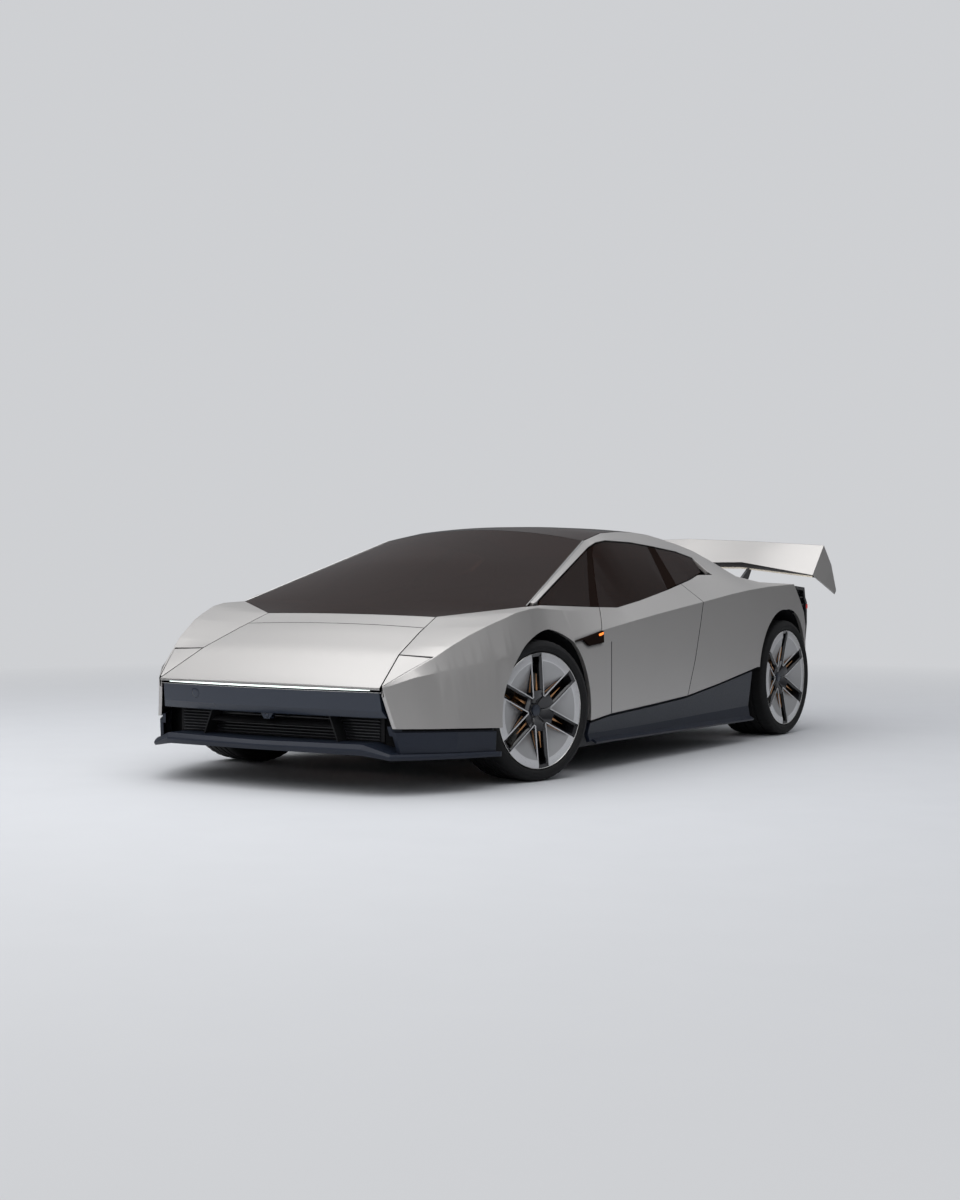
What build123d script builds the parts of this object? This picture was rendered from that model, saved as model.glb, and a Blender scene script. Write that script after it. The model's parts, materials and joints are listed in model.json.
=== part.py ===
"""Two-seat electric supercar with folded wedge bodywork, opening lids and doors, and a rear wing.

Frame: millimetres, +Z up, the nose points along -Y and the car's left side is +X.  The origin is on
the ground, at the middle of the overall length and width.  Body stations are distances behind the
front axle; the front wheels are built steered a little to the car's right, as the car is parked.
"""
import os
from math import cos, radians, sin

from build123d import *

os.makedirs("parts", exist_ok=True)

# ---------------------------------------------------------------- driving dimensions
length = 4600.0
wheelbase = 2820.0
front_overhang = 1025.0
ground_clearance = 120.0

tyre_radius = 340.0
tyre_bead_radius = 267.0
front_tyre_width = 255.0
rear_tyre_width = 305.0
rim_lip_radius = 280.0
rim_wall = 7.0
front_lip_x = 962.0  # outer face of the front rims, straight ahead, from the centre line
rear_lip_x = 973.0
spoke_count = 6
spoke_half = 38.0
slot_half = 22.0
slot_first = 100.0  # a spoke's slot runs between these radii
slot_last = 238.0
hub_core = 76.0
cover_radius = 277.0
cover_plate = 5.0
cover_face = 5.5  # the covers' flat band, inboard of the rim's outer face
cover_fall = 56.0  # how much further inboard the covers end at the hub
dish_radius = 237.0  # within this radius the covers fall inboard
kingpin_x = 820.0
parked_steer = -14.2  # about +Z: the wheels point to the car's right
disc_radius = 190.0
disc_half = 15.0
disc_inset = 130.0  # disc's middle, inboard of the rim's outer face

shell_wall = 20.0
lid_wall = 12.0
glass_wall = 6.0
door_skin = 22.0
door_depth = 78.0
door_rebate = 18.0
panel_gap = 5.0
door_gap = 8.0

y_front_axle = front_overhang - length / 2


def behind(station):
    """Row-frame y of a station given as a distance behind the front axle."""
    return y_front_axle + station


# ---------------------------------------------------------------- body lines of the left side
# Each line is a short table of (station behind the front axle, x, z).
HOOD_SEAM = [(-985, 652, 470), (-935, 648, 495), (-692, 584, 630), (-455, 540, 723), (-269, 509, 789)]
SCREEN_BASE = [(-269, 509, 789), (-17, 860, 837)]
FENDER_TOP = HOOD_SEAM[1:] + [(-17, 860, 837), (76, 885, 843), (253, 895, 836), (564, 895, 822),
                              (842, 895, 811)]
CREASE = [(-935, 656, 497), (-805, 725, 565), (-692, 775, 620), (-605, 810, 670), (-505, 840, 715),
          (-405, 875, 755), (-305, 900, 785), (-205, 920, 815), (-105, 933, 829), (-17, 925, 832),
          (76, 912, 826), (253, 915, 812), (564, 916, 795), (842, 917, 790)]
WAIST = [(-935, 658, 490), (-805, 752, 536), (-692, 806, 554), (-555, 865, 574), (-420, 917, 593),
         (-305, 951, 607), (-105, 968, 626), (232, 985, 664), (514, 986, 705), (916, 988, 749),
         (1258, 990, 783), (1663, 990, 820), (1999, 990, 852), (2238, 990, 871), (2565, 980, 887),
         (2980, 950, 892), (3190, 938, 892)]
LOWER = [(-935, 664, 306), (-891, 701, 305), (-763, 800, 301), (-636, 880, 298), (-403, 950, 286),
         (-105, 968, 275), (232, 978, 266), (424, 980, 262), (628, 982, 282), (1040, 984, 298),
         (1486, 985, 319), (1873, 987, 362), (2366, 993, 427), (2820, 990, 405), (2980, 985, 390),
         (3190, 940, 371)]
BELT = [(76, 885, 843), (253, 895, 836), (564, 895, 822), (842, 895, 811), (1106, 890, 841),
        (1475, 870, 891), (1839, 820, 937), (2045, 790, 976), (2100, 797, 982), (2220, 800, 985),
        (2339, 850, 950), (2427, 900, 914), (2644, 928, 899), (2980, 914, 894), (3190, 902, 894)]
GLASS_TOP = [(-17, 868, 834), (76, 868, 862), (956, 660, 1121), (1047, 655, 1147), (1160, 650, 1158),
             (1464, 640, 1147), (1706, 650, 1124), (1950, 670, 1095), (2100, 702, 1058)]
RAIL = [(-17, 860, 837), (969, 621, 1154), (1232, 580, 1196), (1439, 560, 1204), (1645, 550, 1202),
        (1794, 560, 1190), (1952, 580, 1163), (2100, 612, 1130), (2220, 650, 1094), (2339, 740, 1018),
        (2427, 820, 948), (2644, 880, 909), (2980, 870, 896), (3190, 858, 896)]
BACKLIGHT = [(1794, 550, 1187), (1952, 554, 1148), (2100, 560, 1101), (2220, 568, 1055),
             (2339, 578, 1003), (2427, 588, 965), (2644, 612, 925), (2980, 640, 900), (3190, 640, 893)]


def on_line(line, station):
    """(x, z) of a body line at a station, straight between its table rows."""
    if station <= line[0][0]:
        return line[0][1], line[0][2]
    for (s0, x0, z0), (s1, x1, z1) in zip(line, line[1:]):
        if station <= s1:
            share = (station - s0) / (s1 - s0)
            return x0 + (x1 - x0) * share, z0 + (z1 - z0) * share
    return line[-1][1], line[-1][2]


def stations_of(lines, first, last):
    """Every table station of the lines between two stations, with both ends."""
    inner = {row[0] for line in lines for row in line if first + 12 < row[0] < last - 12}
    return [first] + sorted(inner) + [last]


def inset_points(points, depth):
    """A polyline moved inboard by a wall thickness, mitred at its corners."""
    moved = []
    for i, here in enumerate(points):
        normals = []
        for a, b in ((i - 1, i), (i, i + 1)):
            if 0 <= a and b < len(points):
                run = Vector(*points[b]) - Vector(*points[a])
                normals.append(Vector(run.Y, -run.X).normalized())
        mean = normals[0] if len(normals) == 1 else (normals[0] + normals[1]).normalized()
        reach = depth / max(mean.dot(normals[0]), 0.5)
        moved.append((here[0] + mean.X * reach, here[1] + mean.Y * reach))
    return moved


def pull_in(points, start=0.0, end=0.0):
    """Shorten a polyline at its first and last segments to leave a panel gap."""
    points = [Vector(*p) for p in points]
    first = points[0] + (points[1] - points[0]).normalized() * start
    last = points[-1] + (points[-2] - points[-1]).normalized() * end
    return [(p.X, p.Y) for p in [first] + points[1:-1] + [last]]


def side_shell(lines, first, last, wall, start_gap=0.0, end_gap=0.0, sink=0.0):
    """Thick left-side shell ruled through cross-sections that follow the given body lines."""
    with BuildPart() as shell:
        for station in stations_of(lines, first, last):
            outer = pull_in([on_line(line, station) for line in lines], start_gap, end_gap)
            if sink:
                outer = inset_points(outer, sink)
            with BuildSketch(Plane.XZ.offset(-behind(station))):
                with BuildLine():
                    Polyline(*outer, *reversed(inset_points(outer, wall)), close=True)
                make_face()
        loft(ruled=True)
    return shell.part


def crowned_panel(line, crowns, first, last, wall, side_gap):
    """Full-width panel between a body line and its mirror image, crowned across the car."""
    crown_line = [(station, crown, 0.0) for station, crown in crowns]
    with BuildPart() as panel:
        for station in stations_of([line, crown_line], first, last):
            half, z = on_line(line, station)
            half -= side_gap
            rise = on_line(crown_line, station)[0]
            with BuildSketch(Plane.XZ.offset(-behind(station))):
                with BuildLine():
                    ThreePointArc((-half, z), (0, z + rise), (half, z))
                    Line((half, z), (half, z - wall))
                    ThreePointArc((half, z - wall), (0, z + rise - wall), (-half, z - wall))
                    Line((-half, z - wall), (-half, z))
                make_face()
        loft(ruled=True)
    return panel.part


def side_prism(outline, x_from, x_to):
    """Prism across the car from a side outline of (station, z) points."""
    with BuildPart() as prism:
        with BuildSketch(Plane.YZ.offset(x_from)):
            with BuildLine():
                Polyline(*[(behind(station), z) for station, z in outline], close=True)
            make_face()
        extrude(amount=x_to - x_from)
    return prism.part


def plan_prism(outline, z_from, z_to):
    """Vertical prism from a plan outline of (x, station) points."""
    with BuildPart() as prism:
        with BuildSketch(Plane.XY.offset(z_from)):
            with BuildLine():
                Polyline(*[(x, behind(station)) for x, station in outline], close=True)
            make_face()
        extrude(amount=z_to - z_from)
    return prism.part


def block(x_range, station_range, z_range):
    """Plain block between two x, two stations and two heights."""
    corners = [(x, s) for x, s in zip((x_range[0], x_range[1], x_range[1], x_range[0]),
                                      (station_range[0], station_range[0], station_range[1],
                                       station_range[1]))]
    return plan_prism(corners, *z_range)


def save(part, name):
    """Label a finished piece and write its file."""
    part.label = name
    export_step(part, f"parts/{name}.step")


def save_pair(left_part, stem):
    """Write a left piece and its mirror image as two nodes."""
    save(left_part, f"{stem}_left")
    save(mirrored(left_part), f"{stem}_right")


def save_both(left_part, name):
    """Write a left piece and its mirror image as one node of two solids."""
    with BuildPart() as both:
        add(left_part)
        mirror(left_part, about=Plane.YZ)
    save(both.part, name)


def mirrored(left_part):
    """The same piece on the car's right."""
    with BuildPart() as other:
        mirror(left_part, about=Plane.YZ)
    return other.part


def combined(base, *others, mode=Mode.ADD):
    """One part from several, joined, cut or intersected."""
    with BuildPart() as result:
        add(base)
        for other in others:
            add(other, mode=mode)
    return result.part


def arch_cutter(axle, arcs, x_from, x_to):
    """Wheel-arch opening: two arcs given as (station from the axle, height above the hub)."""
    (start, rise, top), (fall, end) = arcs

    def spot(point):
        return behind(axle) + point[0], tyre_radius + point[1]

    with BuildPart() as cutter:
        with BuildSketch(Plane.YZ.offset(x_from)):
            with BuildLine():
                ThreePointArc(spot(start), spot(rise), spot(top))
                ThreePointArc(spot(top), spot(fall), spot(end))
                Polyline(spot(end), (spot(end)[0], 0), (spot(start)[0], 0), spot(start))
            make_face()
        extrude(amount=x_to - x_from)
    return cutter.part


# ---------------------------------------------------------------- seams and openings of the left side
side_out = 1100.0
FRONT_ARCH = (((-376, -54), (-250, 259), (58, 388)), ((305, 259), (415, -77)))
REAR_ARCH = (((-424, 60), (-222, 357), (10, 404)), ((205, 357), (340, 25)))
front_arch = arch_cutter(0, FRONT_ARCH, 560, side_out)
rear_arch = arch_cutter(wheelbase, REAR_ARCH, 600, side_out)

# door outline, (station, z), from the belt's front end anticlockwise seen from the left
DOOR_FRONT = [(655, 900), (655, 819), (515, 705), (519, 646), (618, 646), (628, 200)]
DOOR_REAR = [(1433, 200), (1486, 319), (1571, 510), (1631, 700), (1662, 818), (1690, 960)]
SIDE_POD = [(244, 663), (514, 705), (519, 646), (374, 636), (319, 668)]
POD_LAMP = [(462, 690), (511, 698), (506, 686), (470, 680)]
# side window division lines as (station, z) at the belt and at the rail
FRONT_POST = ((564, 822), (944, 1118)), ((654, 819), (1026, 1144))
REAR_POST = ((1475, 891), (1655, 1125)), ((1621, 905), (1734, 1125))
WINDOW_TAIL = (2045, 976), (2093, 1060)


def moved_line(line, offset):
    """A side outline's points shifted along the car."""
    return [(station + offset, z) for station, z in line]


def between_lines(front, rear, stretch=0.35):
    """Side outline between two division lines, both run on past their ends."""
    def run_on(line):
        (s0, z0), (s1, z1) = line
        return (s0 - (s1 - s0) * stretch, z0 - (z1 - z0) * stretch), \
               (s1 + (s1 - s0) * stretch, z1 + (z1 - z0) * stretch)
    low_front, high_front = run_on(front)
    low_rear, high_rear = run_on(rear)
    return [low_front, high_front, high_rear, low_rear]


# ---------------------------------------------------------------- fenders and corner panels
fender_shell = side_shell([FENDER_TOP, CREASE, WAIST, LOWER], -935, 700, shell_wall, panel_gap / 2)
nose_rake = side_prism([(-1000, 520), (-935, 497), (-891, 305), (-860, 200), (-1000, 200)], 0, side_out)
corner_pocket = plan_prism([(600, -960), (577, -690), (770, -684), (654, -938), (649, -960)], 450, 700)
corner_fill = plan_prism([(647, -926), (588, -698), (763, -696), (655, -926)], 450, 700)
door_front_cut = side_prism(moved_line(DOOR_FRONT, -panel_gap / 2) + [(1000, 200), (1000, 900)],
                            500, side_out)
pod_pocket = side_prism(SIDE_POD, 900, side_out)
fender = combined(fender_shell, nose_rake, front_arch, corner_pocket, door_front_cut, pod_pocket,
                  mode=Mode.SUBTRACT)
save_pair(fender, "fender")
corner_panel = combined(fender_shell, corner_fill, mode=Mode.INTERSECT)
save_both(corner_panel, "corner_panels")

# ---------------------------------------------------------------- doors
DOOR_LINES = [BELT, WAIST, LOWER]
door_gap_half = door_gap / 2
door_outline = moved_line(DOOR_FRONT, door_gap_half) + moved_line(DOOR_REAR, -door_gap_half)
door_inner_outline = (moved_line(DOOR_FRONT, door_gap_half + door_rebate)
                      + moved_line(DOOR_REAR, -door_gap_half - door_rebate))
door_zone = side_prism(door_outline, 500, side_out)
door_inner_zone = side_prism(door_inner_outline, 500, side_out)
skin_shell = side_shell(DOOR_LINES, 480, 1750, door_skin, panel_gap / 2)
full_shell = side_shell(DOOR_LINES, 480, 1750, door_depth, panel_gap / 2)
pane_inset = 3.0
pane_top_gap = 9.0
pane_root = 18.0
window_pane = side_shell([GLASS_TOP, BELT], 76, 2093, glass_wall, pane_top_gap, -pane_root, pane_inset)
door_pane_zone = side_prism(between_lines(moved_line(FRONT_POST[1], door_gap_half),
                                          moved_line(REAR_POST[0], -door_gap_half)), 400, side_out)
door_glass = combined(window_pane, door_pane_zone, mode=Mode.INTERSECT)
door_frame = combined(full_shell, door_inner_zone, mode=Mode.INTERSECT)
door_face = combined(skin_shell, door_zone, mode=Mode.INTERSECT)
door = combined(combined(door_face, door_frame), door_glass, mode=Mode.SUBTRACT)
save_pair(door, "door")
save_pair(door_glass, "door_glass")

# ---------------------------------------------------------------- fixed side windows and posts
front_pane_zone = side_prism(between_lines(((60, 822), (440, 1118)),
                                           moved_line(FRONT_POST[0], -1)), 400, side_out)
rear_pane_zone = side_prism(between_lines(moved_line(REAR_POST[1], 1),
                                          moved_line(WINDOW_TAIL, -2)), 400, side_out)
pane_above_belt = side_shell([GLASS_TOP, BELT], 76, 2093, glass_wall, pane_top_gap, panel_gap,
                             pane_inset)
fixed_panes = combined(combined(pane_above_belt, front_pane_zone, mode=Mode.INTERSECT),
                       combined(pane_above_belt, rear_pane_zone, mode=Mode.INTERSECT))
save_both(fixed_panes, "side_windows")
post_zones = combined(
    side_prism(between_lines(moved_line(FRONT_POST[0], 1), moved_line(FRONT_POST[1], -door_gap_half)),
               400, side_out),
    side_prism(between_lines(moved_line(REAR_POST[0], door_gap_half), moved_line(REAR_POST[1], -1)),
               400, side_out))
post_depth = 24.0
post_shell = side_shell([GLASS_TOP, BELT], 76, 2093, post_depth, pane_top_gap, panel_gap, pane_inset)
save_both(combined(post_shell, post_zones, mode=Mode.INTERSECT), "window_posts")

# ---------------------------------------------------------------- body side: pillar, rail and haunch
rail_depth = 30.0
rail = side_shell([RAIL, GLASS_TOP], 45, 2100, rail_depth, panel_gap / 2)
haunch = side_shell([BACKLIGHT, RAIL, BELT, WAIST, LOWER], 2100, 3190, shell_wall)
flank = side_shell(DOOR_LINES, 1420, 2100, shell_wall, panel_gap / 2)
sail = side_shell([BACKLIGHT, RAIL], 1800, 2100, shell_wall)
behind_door = side_prism(moved_line(DOOR_REAR, panel_gap / 2) + [(2300, 960), (2300, 200)],
                         500, side_out)
tail_outline = [(2985, 1000), (2982, 892), (3073, 800), (3149, 718), (3179, 641), (3186, 300),
                (3300, 300), (3300, 1000)]
tail_trim = side_prism(tail_outline, 0, side_out)
flank_part = combined(flank, behind_door, mode=Mode.INTERSECT)
body_side = combined(combined(rail, sail, haunch, flank_part), rear_arch, tail_trim,
                     mode=Mode.SUBTRACT)
save_pair(body_side, "quarter")

# ---------------------------------------------------------------- lids and full-width panels
hood_rear = -406
hood_crowns = [(-985, 25), (-935, 22), (-692, 12), (-455, 14), (-269, 6)]
lid_gap = 4.0
hood_shell = crowned_panel(HOOD_SEAM, hood_crowns, -985, hood_rear, lid_wall, lid_gap)


def bow_outline(half, corner_station, bow, rear_station):
    """Plan edges of a panel whose front is bowed forward at the centre line."""
    ThreePointArc((-half, behind(corner_station)), (0, behind(corner_station - bow)),
                  (half, behind(corner_station)))
    Polyline((half, behind(corner_station)), (half, behind(rear_station)),
             (-half, behind(rear_station)), (-half, behind(corner_station)))


def bow_prism(half, corner_station, bow, rear_station, z_from, z_to):
    """Plan prism with a front edge bowed forward at the centre line."""
    with BuildPart() as prism:
        with BuildSketch(Plane.XY.offset(z_from)):
            with BuildLine():
                bow_outline(half, corner_station, bow, rear_station)
            make_face()
        extrude(amount=z_to - z_from)
    return prism.part


nose_bow = 45.0
hood = combined(hood_shell, bow_prism(700, -933, nose_bow, 0, 300, 900), mode=Mode.INTERSECT)
save(hood, "hood")
cowl = crowned_panel(HOOD_SEAM, hood_crowns, hood_rear + panel_gap + 1, -269 - panel_gap / 2,
                     lid_wall, panel_gap / 2)
save(cowl, "cowl")
SCREEN_SIDE = SCREEN_BASE + RAIL[1:]
screen_crowns = [(-269, 6), (-17, 46), (476, 60), (969, 58), (1232, 34), (1439, 28), (1645, 27),
                 (1794, 28)]
save(crowned_panel(SCREEN_SIDE, screen_crowns, -267, 967, glass_wall, panel_gap / 2 + 2), "windshield")
save(crowned_panel(SCREEN_SIDE, screen_crowns, 971, 1792, glass_wall, panel_gap / 2 + 2), "roof_glass")
deck_front = 2440
back_crowns = [(1794, 31), (1952, 30), (2339, 24), (2644, 14), (2980, 6)]
save(crowned_panel(BACKLIGHT, back_crowns, 1798, deck_front - 4, glass_wall, panel_gap / 2),
     "rear_window")
deck_rear = 2950
save(crowned_panel(BACKLIGHT, back_crowns, deck_front + 3, deck_rear, lid_wall, panel_gap + 1),
     "deck_lid")

# ---------------------------------------------------------------- nose: bumper bar, light line, intake
bar_top = 471.0
bar_bottom = 352.0
bar_back = -868
tow_eye_x = -420.0
tow_eye_z = 430.0
tow_eye_radius = 8.0
tow_eye_length = 40.0
tow_eye_seat = -935.0  # station of the flat the towing eye screws down to
SENSOR = [(-38, 354), (-16, 324), (16, 324), (38, 354)]  # x, z of the housing under the bar


with BuildPart() as bumper_bar:
    for half, corner_station, z in ((655, -896, bar_bottom), (640, -915, 385), (634, -928, bar_top)):
        with BuildSketch(Plane.XY.offset(z)):
            with BuildLine():
                bow_outline(half, corner_station, nose_bow, bar_back)
            make_face()
    loft(ruled=True)
    with BuildSketch(Plane.XZ.offset(-behind(-935))):
        with BuildLine():
            Polyline(*SENSOR, close=True)
        make_face()
    extrude(amount=-30)
    seat_plane = Plane.XZ.offset(-behind(tow_eye_seat))
    with BuildSketch(seat_plane):
        with Locations((tow_eye_x, tow_eye_z)):
            Circle(3 * tow_eye_radius)
    extrude(amount=60, mode=Mode.SUBTRACT)
    with BuildSketch(seat_plane):
        with Locations((tow_eye_x, tow_eye_z)):
            Circle(tow_eye_radius)
    extrude(amount=-tow_eye_length, mode=Mode.SUBTRACT)
save(bumper_bar.part, "bumper_bar")
light_height = 6.0
light_line = combined(bow_prism(626, -932, nose_bow, -918, 483 - light_height, 483),
                      bow_prism(700, -924, nose_bow, -800, 400, 500), mode=Mode.SUBTRACT)
save(light_line, "light_line")
intake_back = -835.0
intake_half = 600.0
STRUT = [(344, 350), (351, 350), (397, 236), (390, 236)]  # x, z of the left strut seen from the front
VANE = [(-905, 300), (-860, 318), (-840, 318), (-840, 308), (-862, 306)]  # station, z
with BuildPart() as intake:
    add(side_prism([(intake_back, 236), (intake_back, 350), (intake_back + 20, 350),
                    (intake_back + 20, 236)], -intake_half, intake_half))
    add(side_prism(VANE, -365, 365))
    for side in (-1, 1):
        with BuildSketch(Plane.XZ.offset(-behind(-915))):
            with BuildLine():
                Polyline(*[(side * x, z) for x, z in STRUT], close=True)
            make_face()
        extrude(amount=behind(-915) - behind(intake_back + 5))
save(intake.part, "front_intake")

SPLITTER = [  # x, front station, rear station, top, bottom
    (-960, -415, -400, 176, 154), (-880, -635, -480, 184, 158), (-780, -815, -600, 188, 161),
    (-693, -932, -760, 191, 163), (-570, -980, -790, 235, 184), (0, -1025, -790, 231, 188),
    (570, -980, -790, 235, 184), (693, -932, -760, 191, 163), (780, -815, -600, 188, 161),
    (880, -635, -480, 184, 158), (960, -415, -400, 176, 154)]
nose_round = 9.0
with BuildPart() as splitter:
    for x, front, rear, top, bottom in SPLITTER:
        nose = (top + bottom) / 2
        with BuildSketch(Plane.YZ.offset(x)):
            with BuildLine():
                Polyline((behind(front), nose + 4), (behind(front) + nose_round, top),
                         (behind(rear), top), (behind(rear), bottom),
                         (behind(front) + nose_round, bottom), (behind(front), nose - 4), close=True)
            make_face()
    loft(ruled=True)
save(splitter.part, "splitter")

# ---------------------------------------------------------------- dark skirts below the side panels
skirt_wall = 20.0
skirt_tuck = 16.0  # how far the upper lip of a skirt stands inboard of its face
valance_lip = 26.0
sill_lip = 8.0
VALANCE_TOP = [(-892, 690, 289), (-763, 790, 285), (-636, 870, 282), (-410, 938, 270)]
VALANCE_LOW = [(-892, 690, 191), (-763, 784, 189), (-636, 864, 186), (-410, 934, 178)]
SILL_TOP = [(440, 962, 246), (628, 966, 266), (1040, 968, 282), (1486, 970, 303), (1873, 972, 346),
            (2330, 976, 404)]
SILL_MID = [(440, 948, 190), (1040, 948, 190), (2330, 952, 204)]
SILL_LOW = [(440, 960, 154), (1040, 960, 147), (2330, 964, 135)]
BLADE_TOP = [(440, 984, 150), (2330, 990, 131)]
BLADE_LOW = [(440, 978, 140), (2330, 984, 121)]
blade_width = 45.0


def skirt(lip_rise, top_line, *lower_lines, first, last):
    """Skirt panel whose upper lip steps inboard to stand behind the painted panel above it."""
    lip_low = [(station, x - skirt_tuck, z + 1) for station, x, z in top_line]
    lip_high = [(station, x - skirt_tuck, z + lip_rise) for station, x, z in top_line]
    return side_shell([lip_high, lip_low, top_line, *lower_lines], first, last, skirt_wall)


valance_rake = side_prism([(-1000, 330), (-897, 330), (-862, 180), (-862, 100), (-1000, 100)], 0, side_out)
valance = skirt(valance_lip, VALANCE_TOP, VALANCE_LOW, first=-892, last=-410)
save_both(combined(valance, valance_rake, splitter.part, mode=Mode.SUBTRACT), "front_valance")
sill_blade = side_shell([BLADE_TOP, BLADE_LOW], 470, 2330, blade_width)
sill = skirt(sill_lip, SILL_TOP, SILL_MID, SILL_LOW, first=440, last=2330)
save_both(combined(sill, sill_blade), "sills")

pod_proud = 12.0
pod_skin_x = 986.0
pod_body = side_prism(SIDE_POD, 955, pod_skin_x + pod_proud)
pod_lamp = side_prism(POD_LAMP, 975, pod_skin_x + pod_proud + 2)
save_both(combined(pod_body, pod_lamp, mode=Mode.SUBTRACT), "side_pods")
save_both(pod_lamp, "pod_lamps")

# ---------------------------------------------------------------- tail
tail_profile = [(3010, 886), (3225, 868), (3240, 806), (3264, 776), (3266, 650), (3232, 480),
                (3204, 352), (3184, 352), (3212, 484), (3246, 650), (3244, 768), (3222, 798),
                (3208, 850), (3010, 866)]
tail_half = 914.0
bridge_half = 630.0
with BuildPart() as rear_fascia:
    add(side_prism(tail_profile, -tail_half, tail_half))
    add(side_prism([(2957, 903), (3011, 886), (3011, 868), (2957, 880)], -bridge_half, bridge_half))
lamp_line = side_prism([(3250, 738), (3274, 738), (3274, 764), (3250, 764)], -tail_half, tail_half)
save(combined(rear_fascia.part, lamp_line, mode=Mode.SUBTRACT), "rear_fascia")
save(lamp_line, "tail_light")
fin_thickness = 10.0
with BuildPart() as diffuser:
    add(side_prism([(2300, 120), (2900, 130), (3170, 330), (3170, 345), (2890, 148), (2300, 138)],
                   -590, 590))
    for fin_x in (-560, -336, -112, 112, 336, 560):
        add(side_prism([(2850, 140), (2900, 122), (3175, 180), (3168, 338)],
                       fin_x - fin_thickness / 2, fin_x + fin_thickness / 2))
save(diffuser.part, "diffuser")

WING = [  # x, leading station, lead height, trailing station, trail height, edge depth, lip height
    (-976, 3542, 830, 3575, 850, 8, 0), (-955, 3425, 886, 3548, 1004, 14, 6),
    (-930, 3312, 942, 3487, 1126, 20, 14), (-470, 3274, 1020, 3485, 1150, 20, 40),
    (0, 3268, 1014, 3485, 1166, 20, 34), (470, 3274, 1020, 3485, 1150, 20, 40),
    (930, 3312, 942, 3487, 1126, 20, 14), (955, 3425, 886, 3548, 1004, 14, 6),
    (976, 3542, 830, 3575, 850, 8, 0)]
wing_edge = 12.0
with BuildPart() as wing:
    for x, lead, lead_z, trail, trail_z, depth, _ in WING:
        with BuildSketch(Plane.YZ.offset(x)):
            with BuildLine():
                Polyline((behind(lead), lead_z), (behind(trail), trail_z),
                         (behind(trail), trail_z - wing_edge),
                         (behind(lead) + depth, lead_z - wing_edge), close=True)
            make_face()
    loft(ruled=True)
save(wing.part, "wing")
lip_set = 3.0
lip_chord = 70.0
with BuildPart() as wing_lip:
    for x, lead, lead_z, trail, trail_z, depth, height in WING[2:-2]:
        slope = (trail_z - lead_z) / (trail - lead)
        with BuildSketch(Plane.YZ.offset(x)):
            with BuildLine():
                Polyline((behind(lead) + lip_set, lead_z - 1),
                         (behind(lead) + lip_chord, lead_z + slope * lip_chord - wing_edge),
                         (behind(lead) + lip_chord, lead_z - wing_edge - height / 2),
                         (behind(lead) + lip_set, lead_z - height), close=True)
            make_face()
    loft(ruled=True)
save(combined(wing_lip.part, wing.part, mode=Mode.SUBTRACT), "wing_lip")
pylon_x = 513.0
pylon_outline = [(3085, 875), (3222, 862), (3330, 1000), (3284, 988)]
with BuildPart() as pylons:
    for side in (-1, 1):
        add(side_prism(pylon_outline, side * pylon_x - 8, side * pylon_x + 8))
save(combined(pylons.part, wing.part, wing_lip.part, rear_fascia.part, mode=Mode.SUBTRACT),
     "wing_pylons")

# ---------------------------------------------------------------- floor, structure and heavy masses
floor_low = ground_clearance
battery_top = 235.0
save(block((-600, 600), (480, 2150), (floor_low, battery_top)), "battery_pack")
floor_plate = 14.0
with BuildPart() as floor_pan:
    add(block((-780, 780), (450, 2290), (battery_top, battery_top + floor_plate)))
    for side in (-1, 1):
        add(block(sorted((side * 780, side * 890)), (450, 2290), (floor_low, 330)))
    add(block((-315, 315), (-120, 450), (battery_top, battery_top + floor_plate)))
save(floor_pan.part, "floor_pan")
with BuildPart() as bulkheads:
    add(block((-500, 500), (-165, -150), (battery_top, 700)))
    add(block((-560, 560), (2000, 2020), (battery_top + floor_plate, 1050)))
save(bulkheads.part, "bulkheads")
rail_x = 350.0
rail_half = 30.0
beam = 40.0
arm_reach = 140.0
with BuildPart() as subframes:
    for side in (-1, 1):
        inner, outer = sorted((side * (rail_x - rail_half), side * (rail_x + rail_half)))
        add(block((inner, outer), (-780, -170), (250, 310)))
        add(block((inner, outer), (2300, 2990), (250, 310)))
        for station in (0, wheelbase):
            add(block((inner, outer), (station - arm_reach, station + arm_reach), (216, 480)))
    for first in (-780, -170 - beam, 2300, 2990 - beam):
        add(block((-rail_x, rail_x), (first, first + beam), (260, 300)))
    add(block((-rail_x, rail_x), (-beam, beam), (255, 295)))
save(subframes.part, "subframes")
save(block((-250, 250), (2640, 2940), (220, 560)), "drive_motor")
with BuildPart() as trunk:
    add(block((-430, 430), (-760, -430), (330, 560)))
    add(block((-422, 422), (-752, -438), (338, 600)), mode=Mode.SUBTRACT)
save(trunk.part, "front_trunk")

# ---------------------------------------------------------------- cabin
seat_x = 330.0
seat_width = 480.0
seat_profile = [(1180, 262), (1730, 262), (1985, 900), (1900, 960), (1680, 400), (1300, 380),
                (1190, 400)]
with BuildPart() as seats:
    for side in (-1, 1):
        add(side_prism(seat_profile, side * seat_x - seat_width / 2, side * seat_x + seat_width / 2))
save(seats.part, "seats")
dash_profile = [(30, 735), (300, 800), (430, 780), (410, 640), (330, 600), (215, 695), (30, 712)]
save(side_prism(dash_profile, -770, 770), "dashboard")
wheel_plane = Plane(origin=(seat_x, behind(640), 720), x_dir=(1, 0, 0), z_dir=(0, 0.93, 0.36))
with BuildPart() as steering_wheel:
    with BuildSketch(Plane(origin=wheel_plane.origin, x_dir=wheel_plane.x_dir,
                           z_dir=wheel_plane.y_dir)):
        with Locations((170, 0)):
            Circle(14)
    revolve(axis=Axis(wheel_plane.origin, wheel_plane.z_dir))
    with BuildSketch(wheel_plane.offset(-10)):
        Rectangle(330, 30)
        Circle(45)
    extrude(amount=20)
    with BuildSketch(wheel_plane):
        Circle(22)
    extrude(amount=-235)
save(steering_wheel.part, "steering_wheel")

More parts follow.
